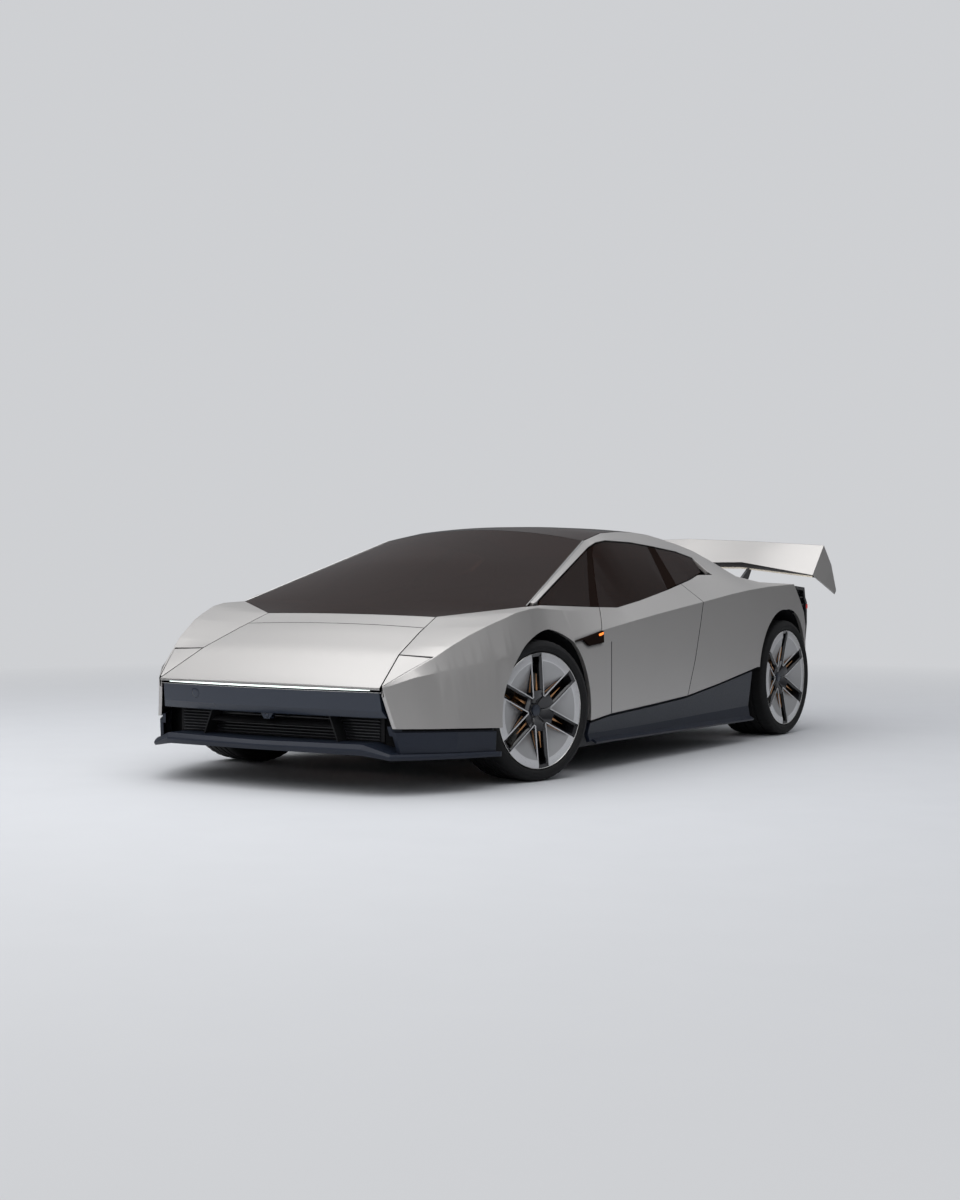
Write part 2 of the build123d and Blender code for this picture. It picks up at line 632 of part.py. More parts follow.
# ---------------------------------------------------------------- wheels, hubs and suspension
def hub_plane(side, station, lip_x, steer):
    """Plane at a rim's outer face: its normal is the spin axis outwards, its x points up."""
    spin = (side * cos(radians(steer)), side * sin(radians(steer)), 0)
    pivot = Vector(side * kingpin_x, behind(station), tyre_radius)
    centre = pivot + Vector(*spin) * (lip_x - kingpin_x)
    return Plane(origin=centre, x_dir=(0, 0, 1), z_dir=spin)


def turned(hub, outline):
    """Solid of revolution about the hub's axis from (radius, depth outboard) points."""
    profile = Plane(origin=hub.origin, x_dir=hub.x_dir, z_dir=-hub.y_dir)
    with BuildPart() as body:
        with BuildSketch(profile):
            with BuildLine():
                Polyline(*outline, close=True)
            make_face()
        revolve(axis=Axis(hub.origin, hub.z_dir))
    return body.part


def side_view(hub, angle):
    """Plane through the spin axis: its x runs out from the axis at an angle, its y outboard."""
    along = hub.x_dir * cos(radians(angle)) + hub.y_dir * sin(radians(angle))
    return Plane(origin=hub.origin, x_dir=along, z_dir=along.cross(hub.z_dir))


def wheel(hub, width, dish, cap_depth, spin):
    """Rim with its brake disc, six slotted spokes and the dished covers between them."""
    bead = tyre_bead_radius - 0.3
    inner = bead - rim_wall
    low = cover_face + cover_fall
    vertex = spoke_half / sin(radians(180 / spoke_count))
    spoke_side = [(inner + 2, -cover_face - 1), (vertex, -cover_face - 1 - dish),
                  (30, -cap_depth - 5), (30, -low - cover_plate), (hub_core, -low - cover_plate),
                  (dish_radius, -cover_face - cover_plate - 1), (inner + 2, -cover_face - 12)]
    with BuildPart() as body:
        add(turned(hub, [(rim_lip_radius, -5), (rim_lip_radius, -14), (bead, -18), (bead, -width),
                         (inner, -width), (inner, -22), (inner, -8), (rim_lip_radius - 10, -5)]))
        add(turned(hub, [(cover_radius, -cover_face), (dish_radius, -cover_face), (hub_core, -low),
                         (hub_core - 8, -low), (hub_core - 8, -low - cover_plate),
                         (hub_core, -low - cover_plate), (dish_radius, -cover_face - cover_plate),
                         (cover_radius, -cover_face - cover_plate)]))
        for i in range(spoke_count):
            with BuildSketch(side_view(hub, spin + i * 360 / spoke_count)):
                with BuildLine():
                    Polyline(*spoke_side, close=True)
                make_face()
            extrude(amount=spoke_half, both=True)
        for i in range(spoke_count):
            with BuildSketch(side_view(hub, spin + i * 360 / spoke_count)):
                with Locations(((slot_first + slot_last) / 2, -low / 2)):
                    Rectangle(slot_last - slot_first, low + 40)
            extrude(amount=slot_half, both=True, mode=Mode.SUBTRACT)
        add(turned(hub, [(0, -cap_depth), (26, -cap_depth), (30, -cap_depth - 5),
                         (hub_core, -cap_depth - 14), (hub_core, -disc_inset + disc_half + 1),
                         (disc_radius, -disc_inset + disc_half), (disc_radius, -disc_inset - disc_half),
                         (0, -disc_inset - disc_half)]))
    return body.part


def tyre(hub, width):
    """Plain tyre with rounded shoulders around the rim."""
    tread = tyre_radius
    bead = tyre_bead_radius
    return turned(hub, [(bead, -18), (rim_lip_radius + 2, -13.5), (rim_lip_radius + 10, 2),
                        (tread - 26, 6), (tread - 6, -8),
                        (tread, -30), (tread, -width + 30), (tread - 6, -width + 8),
                        (tread - 26, -width), (bead, -width + 2)])


def knuckle(hub):
    """Upright inboard of the wheel with the brake caliper over the disc's leading side."""
    with BuildPart() as body:
        with BuildSketch(hub.offset(-disc_inset - 24)):
            SlotCenterToCenter(210, 70)
        extrude(amount=-45)
        with BuildSketch(hub.offset(-disc_inset - 24)):
            Circle(58)
        extrude(amount=4)
        with BuildSketch(hub.offset(-disc_inset - 60)):
            with Locations((0, 165)):
                Rectangle(150, 80)
        extrude(amount=85)
        with BuildSketch(hub.offset(-disc_inset - 60)):
            with Locations((0, 80)):
                Rectangle(50, 140)
        extrude(amount=30)
        add(turned(hub, [(0, -disc_inset + 17.5), (disc_radius + 3, -disc_inset + 17.5),
                         (disc_radius + 3, -disc_inset - 17.5), (0, -disc_inset - 17.5)]),
            mode=Mode.SUBTRACT)
    return body.part


CORNERS = [  # name, side, station, outer face, rim width, steer, spoke dish, cap depth, spin
    ("front_left", 1, 0, front_lip_x, front_tyre_width, parked_steer, 3.0, 33.0, 5.3),
    ("front_right", -1, 0, front_lip_x, front_tyre_width, parked_steer, 3.0, 33.0, 0.0),
    ("rear_left", 1, wheelbase, rear_lip_x, rear_tyre_width, 0.0, 30.0, 50.0, 0.0),
    ("rear_right", -1, wheelbase, rear_lip_x, rear_tyre_width, 0.0, 30.0, 50.0, 0.0)]
rear_knuckles = []
for corner, side, station, lip_x, width, steer, dish, cap_depth, spin in CORNERS:
    hub = hub_plane(side, station, lip_x, steer)
    save(wheel(hub, width, dish, cap_depth, spin), f"wheel_{corner}")
    save(tyre(hub, width), f"tyre_{corner}")
    if station == 0:
        save(knuckle(hub), f"knuckle_{corner}")
    else:
        rear_knuckles.append(knuckle(hub))
save(combined(*rear_knuckles), "knuckles_rear")

arm_z = (222.0, 458.0)
arm_wall = 22.0
with BuildPart() as arms:
    for side in (-1, 1):
        for station in (0, wheelbase):
            for z in arm_z:
                add(plan_prism([(side * (rail_x + rail_half + 1), station - 130),
                                (side * 735, station - 18), (side * 735, station + 18),
                                (side * (rail_x + rail_half + 1), station + 130),
                                (side * (rail_x + rail_half + 1), station + 90),
                                (side * 660, station), (side * (rail_x + rail_half + 1), station - 90)],
                               z - arm_wall / 2, z + arm_wall / 2))
save(arms.part, "suspension_arms")
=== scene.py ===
"""Looks of the wedge supercar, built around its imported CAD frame.  Metres, nose along -Y, +Z up."""

import json
import math

import bmesh
import bpy
from mathutils import Matrix, Vector
from mathutils.bvhtree import BVHTree


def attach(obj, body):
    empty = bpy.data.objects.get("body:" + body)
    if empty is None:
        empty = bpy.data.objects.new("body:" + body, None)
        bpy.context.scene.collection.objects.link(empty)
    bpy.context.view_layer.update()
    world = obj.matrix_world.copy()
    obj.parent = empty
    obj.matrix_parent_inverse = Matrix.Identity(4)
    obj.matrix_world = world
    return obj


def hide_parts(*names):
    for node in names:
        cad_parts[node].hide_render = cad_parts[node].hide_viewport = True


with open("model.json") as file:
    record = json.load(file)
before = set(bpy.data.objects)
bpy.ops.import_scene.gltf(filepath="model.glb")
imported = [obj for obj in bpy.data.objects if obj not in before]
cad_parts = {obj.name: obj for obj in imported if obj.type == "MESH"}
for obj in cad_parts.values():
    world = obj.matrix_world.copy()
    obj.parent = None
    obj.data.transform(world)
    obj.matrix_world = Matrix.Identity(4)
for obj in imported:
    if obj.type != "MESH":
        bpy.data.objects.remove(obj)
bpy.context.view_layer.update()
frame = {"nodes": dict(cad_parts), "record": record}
nodes = frame["nodes"]

# ---- sizes shared with the CAD frame
Y_FRONT_AXLE = -1.275
WHEELBASE = 2.820
TYRE_RADIUS = 0.340
BEAD_RADIUS = 0.267
LIP_RADIUS = 0.280
KINGPIN_X = 0.820
PARKED_STEER = math.radians(-14.2)
SPOKES = 6
SPOKE_HALF = 0.038
SLOT_HALF = 0.022
HUB_CORE = 0.076
COVER_RADIUS = 0.277
COVER_FACE = -0.0055
COVER_LOW = -0.0615
DISH_RADIUS = 0.240
SPOKE_FACE = -0.0065
SPOKE_END = 0.262
DISC_HOLES = 24
CORNERS = [  # name, side, station, outer face, rim width, steer, upright's body, dish, cap, spin
    ("front_left", 1, 0.0, 0.962, 0.255, PARKED_STEER, "steer_left", 0.003, 0.033, 5.3),
    ("front_right", -1, 0.0, 0.962, 0.255, PARKED_STEER, "steer_right", 0.003, 0.033, 0.0),
    ("rear_left", 1, WHEELBASE, 0.973, 0.305, 0.0, "chassis", 0.030, 0.050, 0.0),
    ("rear_right", -1, WHEELBASE, 0.973, 0.305, 0.0, "chassis", 0.030, 0.050, 0.0)]


def behind(station):
    """Y of a station given in metres behind the front axle."""
    return Y_FRONT_AXLE + station


# ---- node material helpers
def new_material(name):
    """A material with its principled shader and a texture-coordinate node."""
    mat = bpy.data.materials.new(name)
    mat.use_nodes = True
    tree = mat.node_tree
    shader = tree.nodes["Principled BSDF"]
    coords = tree.nodes.new("ShaderNodeTexCoord")
    return mat, tree, shader, coords


def put(node, **values):
    """Set a node's inputs, named with underscores for spaces, and return the node."""
    for name, value in values.items():
        node.inputs[name.replace("_", " ")].default_value = value
    return node


def noise(tree, coords, scale, detail, stretch=None):
    """Noise texture in object space, stretched along an axis when asked."""
    tex = put(tree.nodes.new("ShaderNodeTexNoise"), Scale=scale, Detail=detail, Roughness=0.55)
    if stretch:
        mapping = put(tree.nodes.new("ShaderNodeMapping"), Scale=stretch)
        tree.links.new(coords.outputs["Object"], mapping.inputs["Vector"])
        tree.links.new(mapping.outputs["Vector"], tex.inputs["Vector"])
    else:
        tree.links.new(coords.outputs["Object"], tex.inputs["Vector"])
    return tex


def ramp(tree, source, low, high, from_min=0.3, from_max=0.7):
    """Map a socket's value, between from_min and from_max, onto low to high."""
    node = put(tree.nodes.new("ShaderNodeMapRange"), From_Min=from_min, From_Max=from_max,
               To_Min=low, To_Max=high)
    tree.links.new(source, node.inputs["Value"])
    return node.outputs["Result"]


def colour_mix(tree, factor, first, second):
    """Blend a colour with another, or with a socket's, by a factor socket."""
    mix = tree.nodes.new("ShaderNodeMix")
    mix.data_type = "RGBA"
    tree.links.new(factor, mix.inputs["Factor"])
    mix.inputs[6].default_value = (*first, 1)
    if isinstance(second, tuple):
        mix.inputs[7].default_value = (*second, 1)
    else:
        tree.links.new(second, mix.inputs[7])
    return mix.outputs[2]


def bump(tree, shader, height, strength, distance, round_edge=0.0):
    """Bump the shader's normal from a height socket, over softened edges when asked."""
    node = put(tree.nodes.new("ShaderNodeBump"), Strength=strength, Distance=distance)
    tree.links.new(height, node.inputs["Height"])
    if round_edge:
        edge = put(tree.nodes.new("ShaderNodeBevel"), Radius=round_edge)
        edge.samples = 4
        tree.links.new(edge.outputs["Normal"], node.inputs["Normal"])
    tree.links.new(node.outputs["Normal"], shader.inputs["Normal"])


def finish(name, base, other, rough, rough_other, scale, relief, metallic=0.0,
           relief_depth=0.0005, coat=0.0, coat_rough=0.05, stretch=None, specular=0.5,
           round_edge=0.0):
    """Material whose colour and roughness drift between two values, with fine bump."""
    mat, tree, shader, coords = new_material(name)
    broad = noise(tree, coords, scale / 20, 3.0)
    fine = noise(tree, coords, scale, 6.0, stretch=stretch)
    tree.links.new(colour_mix(tree, broad.outputs["Fac"], base, other), shader.inputs["Base Color"])
    tree.links.new(ramp(tree, fine.outputs["Fac"], rough, rough_other), shader.inputs["Roughness"])
    put(shader, Metallic=metallic, Coat_Weight=coat, Coat_Roughness=coat_rough,
        Specular_IOR_Level=specular)
    bump(tree, shader, fine.outputs["Fac"], relief, relief_depth, round_edge)
    return mat


PAINTED_SHADE_REACH = 0.022  # metres within which a near surface paints shade on the paint
PAINTED_SHADE_OPEN = (0.74, 0.92)  # share of open air below which the paint is painted black as shade, and above which it is plain paint
# colour that the painted shade turns the paint to in gaps and creases
PAINTED_SHADE_BLACK = (0.004, 0.004, 0.005)
FLAKE_SCALE = 2600


def paint_material(name, base, other):
    """Satin pearl paint: flakes in its roughness, a thin coat, and painted shade that turns it black
    and coatless where other surfaces are near, as in shut lines and creases.
    """
    mat, tree, shader, coords = new_material(name)
    flakes = put(tree.nodes.new("ShaderNodeTexVoronoi"), Scale=FLAKE_SCALE)
    tree.links.new(coords.outputs["Object"], flakes.inputs["Vector"])
    broad = noise(tree, coords, 1.6, 3.0)
    open_air = put(tree.nodes.new("ShaderNodeAmbientOcclusion"), Distance=PAINTED_SHADE_REACH)
    open_air.samples = 6
    # Painted shade: ambient occlusion blackens the colour and thins the coat near other surfaces.
    shade = ramp(tree, open_air.outputs["AO"], 0.0, 1.0, *PAINTED_SHADE_OPEN)
    drift = colour_mix(tree, broad.outputs["Fac"], base, other)
    tree.links.new(colour_mix(tree, shade, PAINTED_SHADE_BLACK, drift), shader.inputs["Base Color"])
    tree.links.new(ramp(tree, flakes.outputs["Distance"], 0.30, 0.40, 0.0, 0.6),
                   shader.inputs["Roughness"])
    tree.links.new(ramp(tree, shade, 0.0, 0.28, 0.0, 1.0), shader.inputs["Coat Weight"])
    put(shader, Metallic=0.75, Coat_Roughness=0.2)
    peel = noise(tree, coords, 420, 2.0)
    bump(tree, shader, peel.outputs["Fac"], 0.04, 0.0004, 0.004)
    return mat


def glass_material(name, tint, sheen):
    """Bronze tinted glazing that streaks a little where it was wiped."""
    mat, tree, shader, coords = new_material(name)
    smear = noise(tree, coords, 5.0, 5.0, stretch=(1.0, 0.35, 1.0))
    tree.links.new(ramp(tree, smear.outputs["Fac"], 0.02, 0.06), shader.inputs["Roughness"])
    put(shader, Base_Color=(*tint, 1), Transmission_Weight=0.88, IOR=1.12, Specular_IOR_Level=0.4,
        Specular_Tint=(*sheen, 1))
    return mat


def glow_material(name, colour, strength):
    """Lit lamp lens with a faintly uneven glow."""
    mat, tree, shader, coords = new_material(name)
    cells = noise(tree, coords, 90, 2.0)
    tree.links.new(ramp(tree, cells.outputs["Fac"], 0.2, 0.32), shader.inputs["Roughness"])
    put(shader, Base_Color=(*colour, 1), Emission_Color=(*colour, 1), Emission_Strength=strength)
    return mat


MATERIALS = {
    "paint": paint_material("satin_pearl", (0.455, 0.440, 0.425), (0.49, 0.475, 0.46)),
    "gloss_dark": finish(
        "gloss_blue_black", (0.014, 0.020, 0.034), (0.018, 0.025, 0.041), 0.18, 0.26,
        scale=90, relief=0.05, coat=0.25, coat_rough=0.08, round_edge=0.003, specular=0.4),
    "satin_dark": finish(
        "satin_slate", (0.010, 0.014, 0.024), (0.014, 0.018, 0.030), 0.32, 0.44,
        scale=120, relief=0.12, round_edge=0.003, specular=0.3),
    "trim": finish(
        "moulded_black", (0.008, 0.008, 0.009), (0.014, 0.014, 0.015), 0.5, 0.65,
        scale=300, relief=0.25, specular=0.25),
    "gloss_black": finish(
        "gloss_black", (0.010, 0.010, 0.012), (0.015, 0.015, 0.018), 0.14, 0.24,
        scale=140, relief=0.06, coat=0.4, round_edge=0.0015),
    "tinted_post": finish(
        "bronze_black_gloss", (0.012, 0.008, 0.007), (0.017, 0.011, 0.009), 0.30, 0.40,
        scale=80, relief=0.03, specular=0.0),
    "structure": finish(
        "coated_alloy", (0.05, 0.052, 0.056), (0.08, 0.082, 0.086), 0.45, 0.6,
        metallic=0.6, scale=150, relief=0.2),
    "bare_metal": finish(
        "cast_alloy", (0.42, 0.42, 0.43), (0.52, 0.52, 0.53), 0.35, 0.5,
        metallic=0.9, scale=220, relief=0.3),
    # Bright machined metal, also laid along the nose's front edges as painted highlights.
    "bright": finish(
        "machined_edge_and_painted_highlight", (0.70, 0.69, 0.67), (0.78, 0.77, 0.75), 0.2, 0.3,
        metallic=0.9, scale=300, relief=0.05),
    "champagne": finish(
        "champagne_strip", (0.72, 0.66, 0.56), (0.78, 0.72, 0.62), 0.22, 0.3,
        metallic=0.7, scale=260, relief=0.05),
    "disc": finish(
        "brake_disc", (0.20, 0.19, 0.18), (0.28, 0.27, 0.25), 0.3, 0.45,
        metallic=0.9, scale=500, relief=0.3, stretch=(1.0, 1.0, 8.0)),
    "bronze": finish(
        "bronze_caliper", (0.40, 0.19, 0.075), (0.50, 0.26, 0.11), 0.28, 0.4,
        metallic=0.6, scale=180, relief=0.1, coat=0.4),
    "rubber": finish(
        "tyre_rubber", (0.007, 0.007, 0.008), (0.013, 0.013, 0.013), 0.6, 0.8,
        scale=400, relief=0.35, specular=0.22),
    # Cover and band are one finish: the band shows the covers' own light grey, the darker copy is
    # painted shade on the dished inner facet.
    "cover": finish(
        "wheel_cover_painted_shade", (0.34, 0.34, 0.345), (0.39, 0.39, 0.395), 0.32, 0.42,
        metallic=0.35, scale=200, relief=0.06, coat=0.3),
    "cover_band": finish(
        "wheel_cover_band", (0.56, 0.56, 0.57), (0.62, 0.62, 0.63), 0.26, 0.36,
        metallic=0.35, scale=200, relief=0.06, coat=0.3),
    "leather": finish(
        "dark_leather", (0.030, 0.026, 0.024), (0.048, 0.041, 0.037), 0.42, 0.6,
        scale=520, relief=0.45, relief_depth=0.001),
    "suede": finish(
        "bronze_suede", (0.085, 0.058, 0.045), (0.11, 0.075, 0.058), 0.75, 0.9,
        scale=700, relief=0.5, relief_depth=0.001),
    "carpet": finish(
        "dark_carpet", (0.008, 0.008, 0.009), (0.014, 0.014, 0.015), 0.85, 1.0,
        scale=900, relief=0.8, relief_depth=0.002, specular=0.1),
    "glass": glass_material("bronze_glass", (0.075, 0.036, 0.026), (1.0, 0.78, 0.68)),
    "amber": glow_material("amber_lamp", (1.0, 0.22, 0.03), 1.4),
    "white_line": glow_material("white_lamp", (0.88, 1.0, 0.95), 1.6),
    "red_line": glow_material("red_lamp", (0.55, 0.02, 0.015), 0.25),
}

SLOT_LOOKS = {
    "body_paint": "paint", "gloss_dark": "gloss_dark", "satin_dark": "satin_dark",
    "tinted_glass": "glass", "tyre_rubber": "rubber", "rim_two_tone": "cover",
    "bare_metal": "bare_metal", "structure": "structure", "trim_black": "trim",
    "lamp_amber": "amber", "lamp_white": "white_line", "lamp_red": "red_line",
    "seat_trim": "leather"}
NODE_LOOKS = {
    "window_posts": "tinted_post", "rear_fascia": "gloss_black", "wing_pylons": "gloss_black",
    "dashboard": "leather", "side_pods": "tinted_post", "wing_lip": "gloss_black"}
SOFT_EDGE_ANGLE = math.radians(14)
WELD_GAP = 0.00005


def dress_nodes():
    """Give every CAD node the material of its slot, welded and smoothed across soft edges."""
    for part in frame["record"]["subparts"]:
        node = nodes[part["node"]]
        look = NODE_LOOKS.get(part["node"], SLOT_LOOKS[part["material_slot"]])
        node.data.materials.clear()
        node.data.materials.append(MATERIALS[look])
        node.modifiers.new("weld", "WELD").merge_threshold = WELD_GAP
        node.modifiers.new("soft_edges", "EDGE_SPLIT").split_angle = SOFT_EDGE_ANGLE
        for face in node.data.polygons:
            face.use_smooth = True


# ---- mesh helpers
def new_object(name, data):
    """Object with some data, linked into the scene."""
    made = bpy.data.objects.new(name, data)
    bpy.context.scene.collection.objects.link(made)
    return made


def add_piece(name, parts, looks, body="chassis", smooth_angle=30.0,
              replaces=()):
    """Piece from parts of (points, faces, number of the part's look) that rides on a body."""
    verts, faces, numbers = [], [], []
    for part_verts, part_faces, number in parts:
        offset = len(verts)
        verts += [tuple(vert) for vert in part_verts]
        faces += [tuple(offset + i for i in face) for face in part_faces]
        numbers += [number] * len(part_faces)
    mesh = bpy.data.meshes.new(name)
    mesh.from_pydata(verts, [], faces)
    for face, number in zip(mesh.polygons, numbers):
        face.material_index = number
    solid = bmesh.new()
    solid.from_mesh(mesh)
    bmesh.ops.recalc_face_normals(solid, faces=solid.faces)
    solid.to_mesh(mesh)
    solid.free()
    for look in looks:
        mesh.materials.append(MATERIALS[look])
    for face in mesh.polygons:
        face.use_smooth = True
    piece = new_object(name, mesh)
    piece.modifiers.new("soft_edges", "EDGE_SPLIT").split_angle = math.radians(smooth_angle)
    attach(piece, body)
    if replaces:
        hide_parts(*replaces)
    return piece


def first_modifier(piece, name, kind):
    """Add a modifier ahead of the piece's others."""
    modifier = piece.modifiers.new(name, kind)
    piece.modifiers.move(len(piece.modifiers) - 1, 0)
    return modifier


def around(radius, angle, depth):
    """Point at a radius and angle about the Z axis."""
    return Vector((radius * math.cos(angle), radius * math.sin(angle), depth))


def lathe(profile, segments, place, look=0, turn=math.tau, start=0.0, dent=None):
    """Part from a closed profile of (radius, depth) turned about a placed local Z axis."""
    full = abs(turn - math.tau) < 1e-6
    columns = segments if full else segments + 1
    rows = len(profile)
    verts = []
    for column in range(columns):
        angle = start + turn * column / segments
        for row, (radius, depth) in enumerate(profile):
            if dent:
                radius -= dent(column, row)
            verts.append(place @ around(radius, angle, depth))
    faces = []
    for column in range(segments):
        here = column * rows
        there = ((column + 1) % columns) * rows
        for row in range(rows):
            after = (row + 1) % rows
            faces.append((here + row, there + row, there + after, here + after))
    if not full:
        faces.append(tuple(range(rows)))
        faces.append(tuple(segments * rows + row for row in range(rows)))
    return verts, faces, look


def loft(sections, look=0, close_ends=True):
    """Part through equal closed sections of 3-D points."""
    count = len(sections[0])
    verts = [Vector(point) for section in sections for point in section]
    faces = []
    for i in range(len(sections) - 1):
        for j in range(count):
            k = (j + 1) % count
            faces.append((i * count + j, i * count + k, (i + 1) * count + k, (i + 1) * count + j))
    if close_ends:
        faces.append(tuple(range(count)))
        faces.append(tuple((len(sections) - 1) * count + j for j in range(count)))
    return verts, faces, look


def bevelled(piece, width, segments=2):
    """Bevel a piece's sharp edges before its edge split."""
    bevel = first_modifier(piece, "bevel", "BEVEL")
    bevel.width = width
    bevel.segments = segments
    bevel.limit_method = "ANGLE"
    bevel.angle_limit = math.radians(30.0)


def skin_tree(*names):
    """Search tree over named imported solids, for laying trim on them."""
    verts, faces = [], []
    for name in names:
        mesh = nodes[name].data
        offset = len(verts)
        verts += [v.co.copy() for v in mesh.vertices]
        faces += [tuple(offset + i for i in face.vertices) for face in mesh.polygons]
    return BVHTree.FromPolygons(verts, faces)


def touch(tree, start, direction, fallback):
    """Where a ray first meets the solids, or the fallback."""
    hit = tree.ray_cast(Vector(start), Vector(direction))[0]
    return hit if hit is not None else Vector(fallback)


def tube(points, radius, sides=8):
    """Part that is a round bar through 3-D points."""
    sections = []
    points = [Vector(point) for point in points]
    for i, point in enumerate(points):
        ahead = (points[min(i + 1, len(points) - 1)] - points[max(i - 1, 0)]).normalized()
        across = ahead.cross(Vector((0.0, 0.0, 1.0)))
        across = across.normalized() if across.length > 0.01 else Vector((1.0, 0.0, 0.0))
        above = across.cross(ahead)
        sections.append([point + across * radius * math.cos(math.tau * j / sides)
                         + above * radius * math.sin(math.tau * j / sides) for j in range(sides)])
    return loft(sections)


# ---- wheels and tyres
def hub_place(side, station, lip_x, steer):
    """Matrix from wheel space (X up, Z outboard, origin at the rim's outer face) to the frame."""
    spin = Vector((side * math.cos(steer), side * math.sin(steer), 0.0))
    pivot = Vector((side * KINGPIN_X, behind(station), TYRE_RADIUS))
    up = Vector((0.0, 0.0, 1.0))
    place = Matrix((up, spin.cross(up), spin)).transposed().to_4x4()
    place.translation = pivot + spin * (lip_x - KINGPIN_X)
    return place


def tyre_profile(width):
    """(radius, depth) round a tyre's section, with four grooves in its tread."""
    outer = [(BEAD_RADIUS + 0.001, -0.018), (0.2815, -0.0145), (0.287, -0.004), (0.292, 0.002),
             (0.299, 0.0045), (0.3005, 0.0035), (0.303, 0.0052), (0.313, 0.0055), (0.3145, 0.0042),
             (0.323, 0.001), (0.331, -0.005), (0.336, -0.011), (0.3385, -0.018), (0.3395, -0.028)]
    tread = []
    groove_floor = TYRE_RADIUS - 0.0065
    for share in (0.24, 0.42, 0.58, 0.76):
        tread += [(radius, off - width * share) for radius, off in (
            (TYRE_RADIUS, 0.0062), (groove_floor, 0.0042), (groove_floor, -0.0042),
            (TYRE_RADIUS, -0.0062))]
    inner = [(radius, -width - depth) for radius, depth in reversed(outer[5:])]
    inner += [(0.290, -width), (BEAD_RADIUS + 0.001, -width + 0.012)]
    return outer + tread + inner, len(outer), len(outer) + len(tread)


def dress_tyre(corner, place, width):
    """Tyre with shoulder blocks, grooves and a ribbed sidewall."""
    profile, first, last = tyre_profile(width)

    def dent(column, row):
        shoulder = row in (first - 3, first - 2, first - 1, last, last + 1, last + 2)
        return 0.0022 if shoulder and column % 3 == 0 else 0.0

    add_piece(f"tyre_body_{corner}", [lathe(profile, 156, place, dent=dent)], ["rubber"],
              f"wheel_{corner}", 32, [f"tyre_{corner}"])


def cover_depth(radius):
    """Depth of the covers' surface at a radius."""
    share = max(0.0, DISH_RADIUS - radius) / (DISH_RADIUS - HUB_CORE)
    return COVER_FACE + share * (COVER_LOW - COVER_FACE)


def spoke_depth(radius, dish, cap_depth):
    """Depth of a spoke's face at a radius: straight out to the rim, a funnel down to the cap."""
    if radius < HUB_CORE:
        share = (HUB_CORE - radius) / (HUB_CORE - 0.030)
        return SPOKE_FACE - dish - share * (cap_depth - 0.0015 - dish)
    return SPOKE_FACE - dish * (SPOKE_END - radius) / (SPOKE_END - HUB_CORE)


def cover_sector(place, middle):
    """One dished cover: inner facet, outer band and turned-in rim edge, each its own faces; the inner
    facet takes the darker copy of the finish as painted shade.
    """
    reach = SPOKE_HALF - 0.003
    radii = [HUB_CORE - 0.004, 0.12, 0.16, 0.20, DISH_RADIUS - 0.002, DISH_RADIUS + 0.002, 0.272,
             COVER_RADIUS, COVER_RADIUS]
    depths = [cover_depth(r) for r in radii]
    depths[4] -= 0.0006
    depths[-2] -= 0.0012
    depths[-1] -= 0.006
    steps = 12
    verts = []
    for radius, depth in zip(radii, depths):
        sweep = math.pi / SPOKES - math.asin(reach / radius)
        for i in range(steps + 1):
            angle = middle + sweep * (2 * i / steps - 1)
            verts.append(place @ around(radius, angle, depth))
    facet, band = [], []
    for row in range(len(radii) - 1):
        for i in range(steps):
            k = row * (steps + 1) + i
            face = (k, k + 1, k + steps + 2, k + steps + 1)
            (facet if row < 4 else band).append(face)
    return verts, facet, band


def spoke_rail(place, hand, dish, cap_depth):
    """One side rail of a spoke, with the face towards its slot hollowed."""
    sections = []
    for radius in (0.090, 0.120, 0.160, 0.200, 0.240, 0.2625):
        top = spoke_depth(radius, dish, cap_depth)
        foot = min(top - 0.006, cover_depth(radius) - 0.006)
        sections.append([place @ Vector((radius, hand * t, d)) for t, d in (
            (SPOKE_HALF, foot), (SPOKE_HALF, top - 0.0030), (SPOKE_HALF - 0.0028, top - 0.0002),
            (SPOKE_HALF - 0.005, top - 0.0006), (SLOT_HALF + 0.003, top - 0.0065),
            (SLOT_HALF, top - 0.011), (SLOT_HALF, foot))])
    return loft(sections)


def spoke_edge(place, hand, dish, cap_depth):
    """Thin machined line along one edge of a spoke, from the rim to where two spokes meet."""
    sections = []
    for radius in (HUB_CORE * 0.985, 0.12, 0.19, 0.2625):
        top = spoke_depth(max(radius, HUB_CORE), dish, cap_depth)
        across = SPOKE_HALF if radius > HUB_CORE else SPOKE_HALF * 0.985
        radial = radius if radius > HUB_CORE else HUB_CORE * math.cos(math.pi / SPOKES) * 1.005
        sections.append([place @ Vector((radial, hand * (across + t), top + d)) for t, d in (
            (0.0003, -0.0034), (0.0003, 0.0002), (-0.0006, 0.0008), (-0.0046, 0.0008),
            (-0.0050, -0.0030))])
    return loft(sections, 1)


def spoke_core(place, dish, cap_depth):
    """Inner end of a spoke: full width out to its slot, falling in a funnel to the cap."""
    sections = []
    for radius, half in ((0.026, 0.014), (0.050, 0.027), (HUB_CORE * 0.88, SPOKE_HALF - 0.004),
                         (0.098, SPOKE_HALF - 0.004)):
        top = spoke_depth(radius, dish, cap_depth) - 0.0012
        sections.append([place @ Vector((radius, t, d)) for t, d in (
            (-half, COVER_LOW - 0.008), (-half, top - 0.003), (-half * 0.8, top), (half * 0.8, top),
            (half, top - 0.003), (half, COVER_LOW - 0.008))])
    return loft(sections)


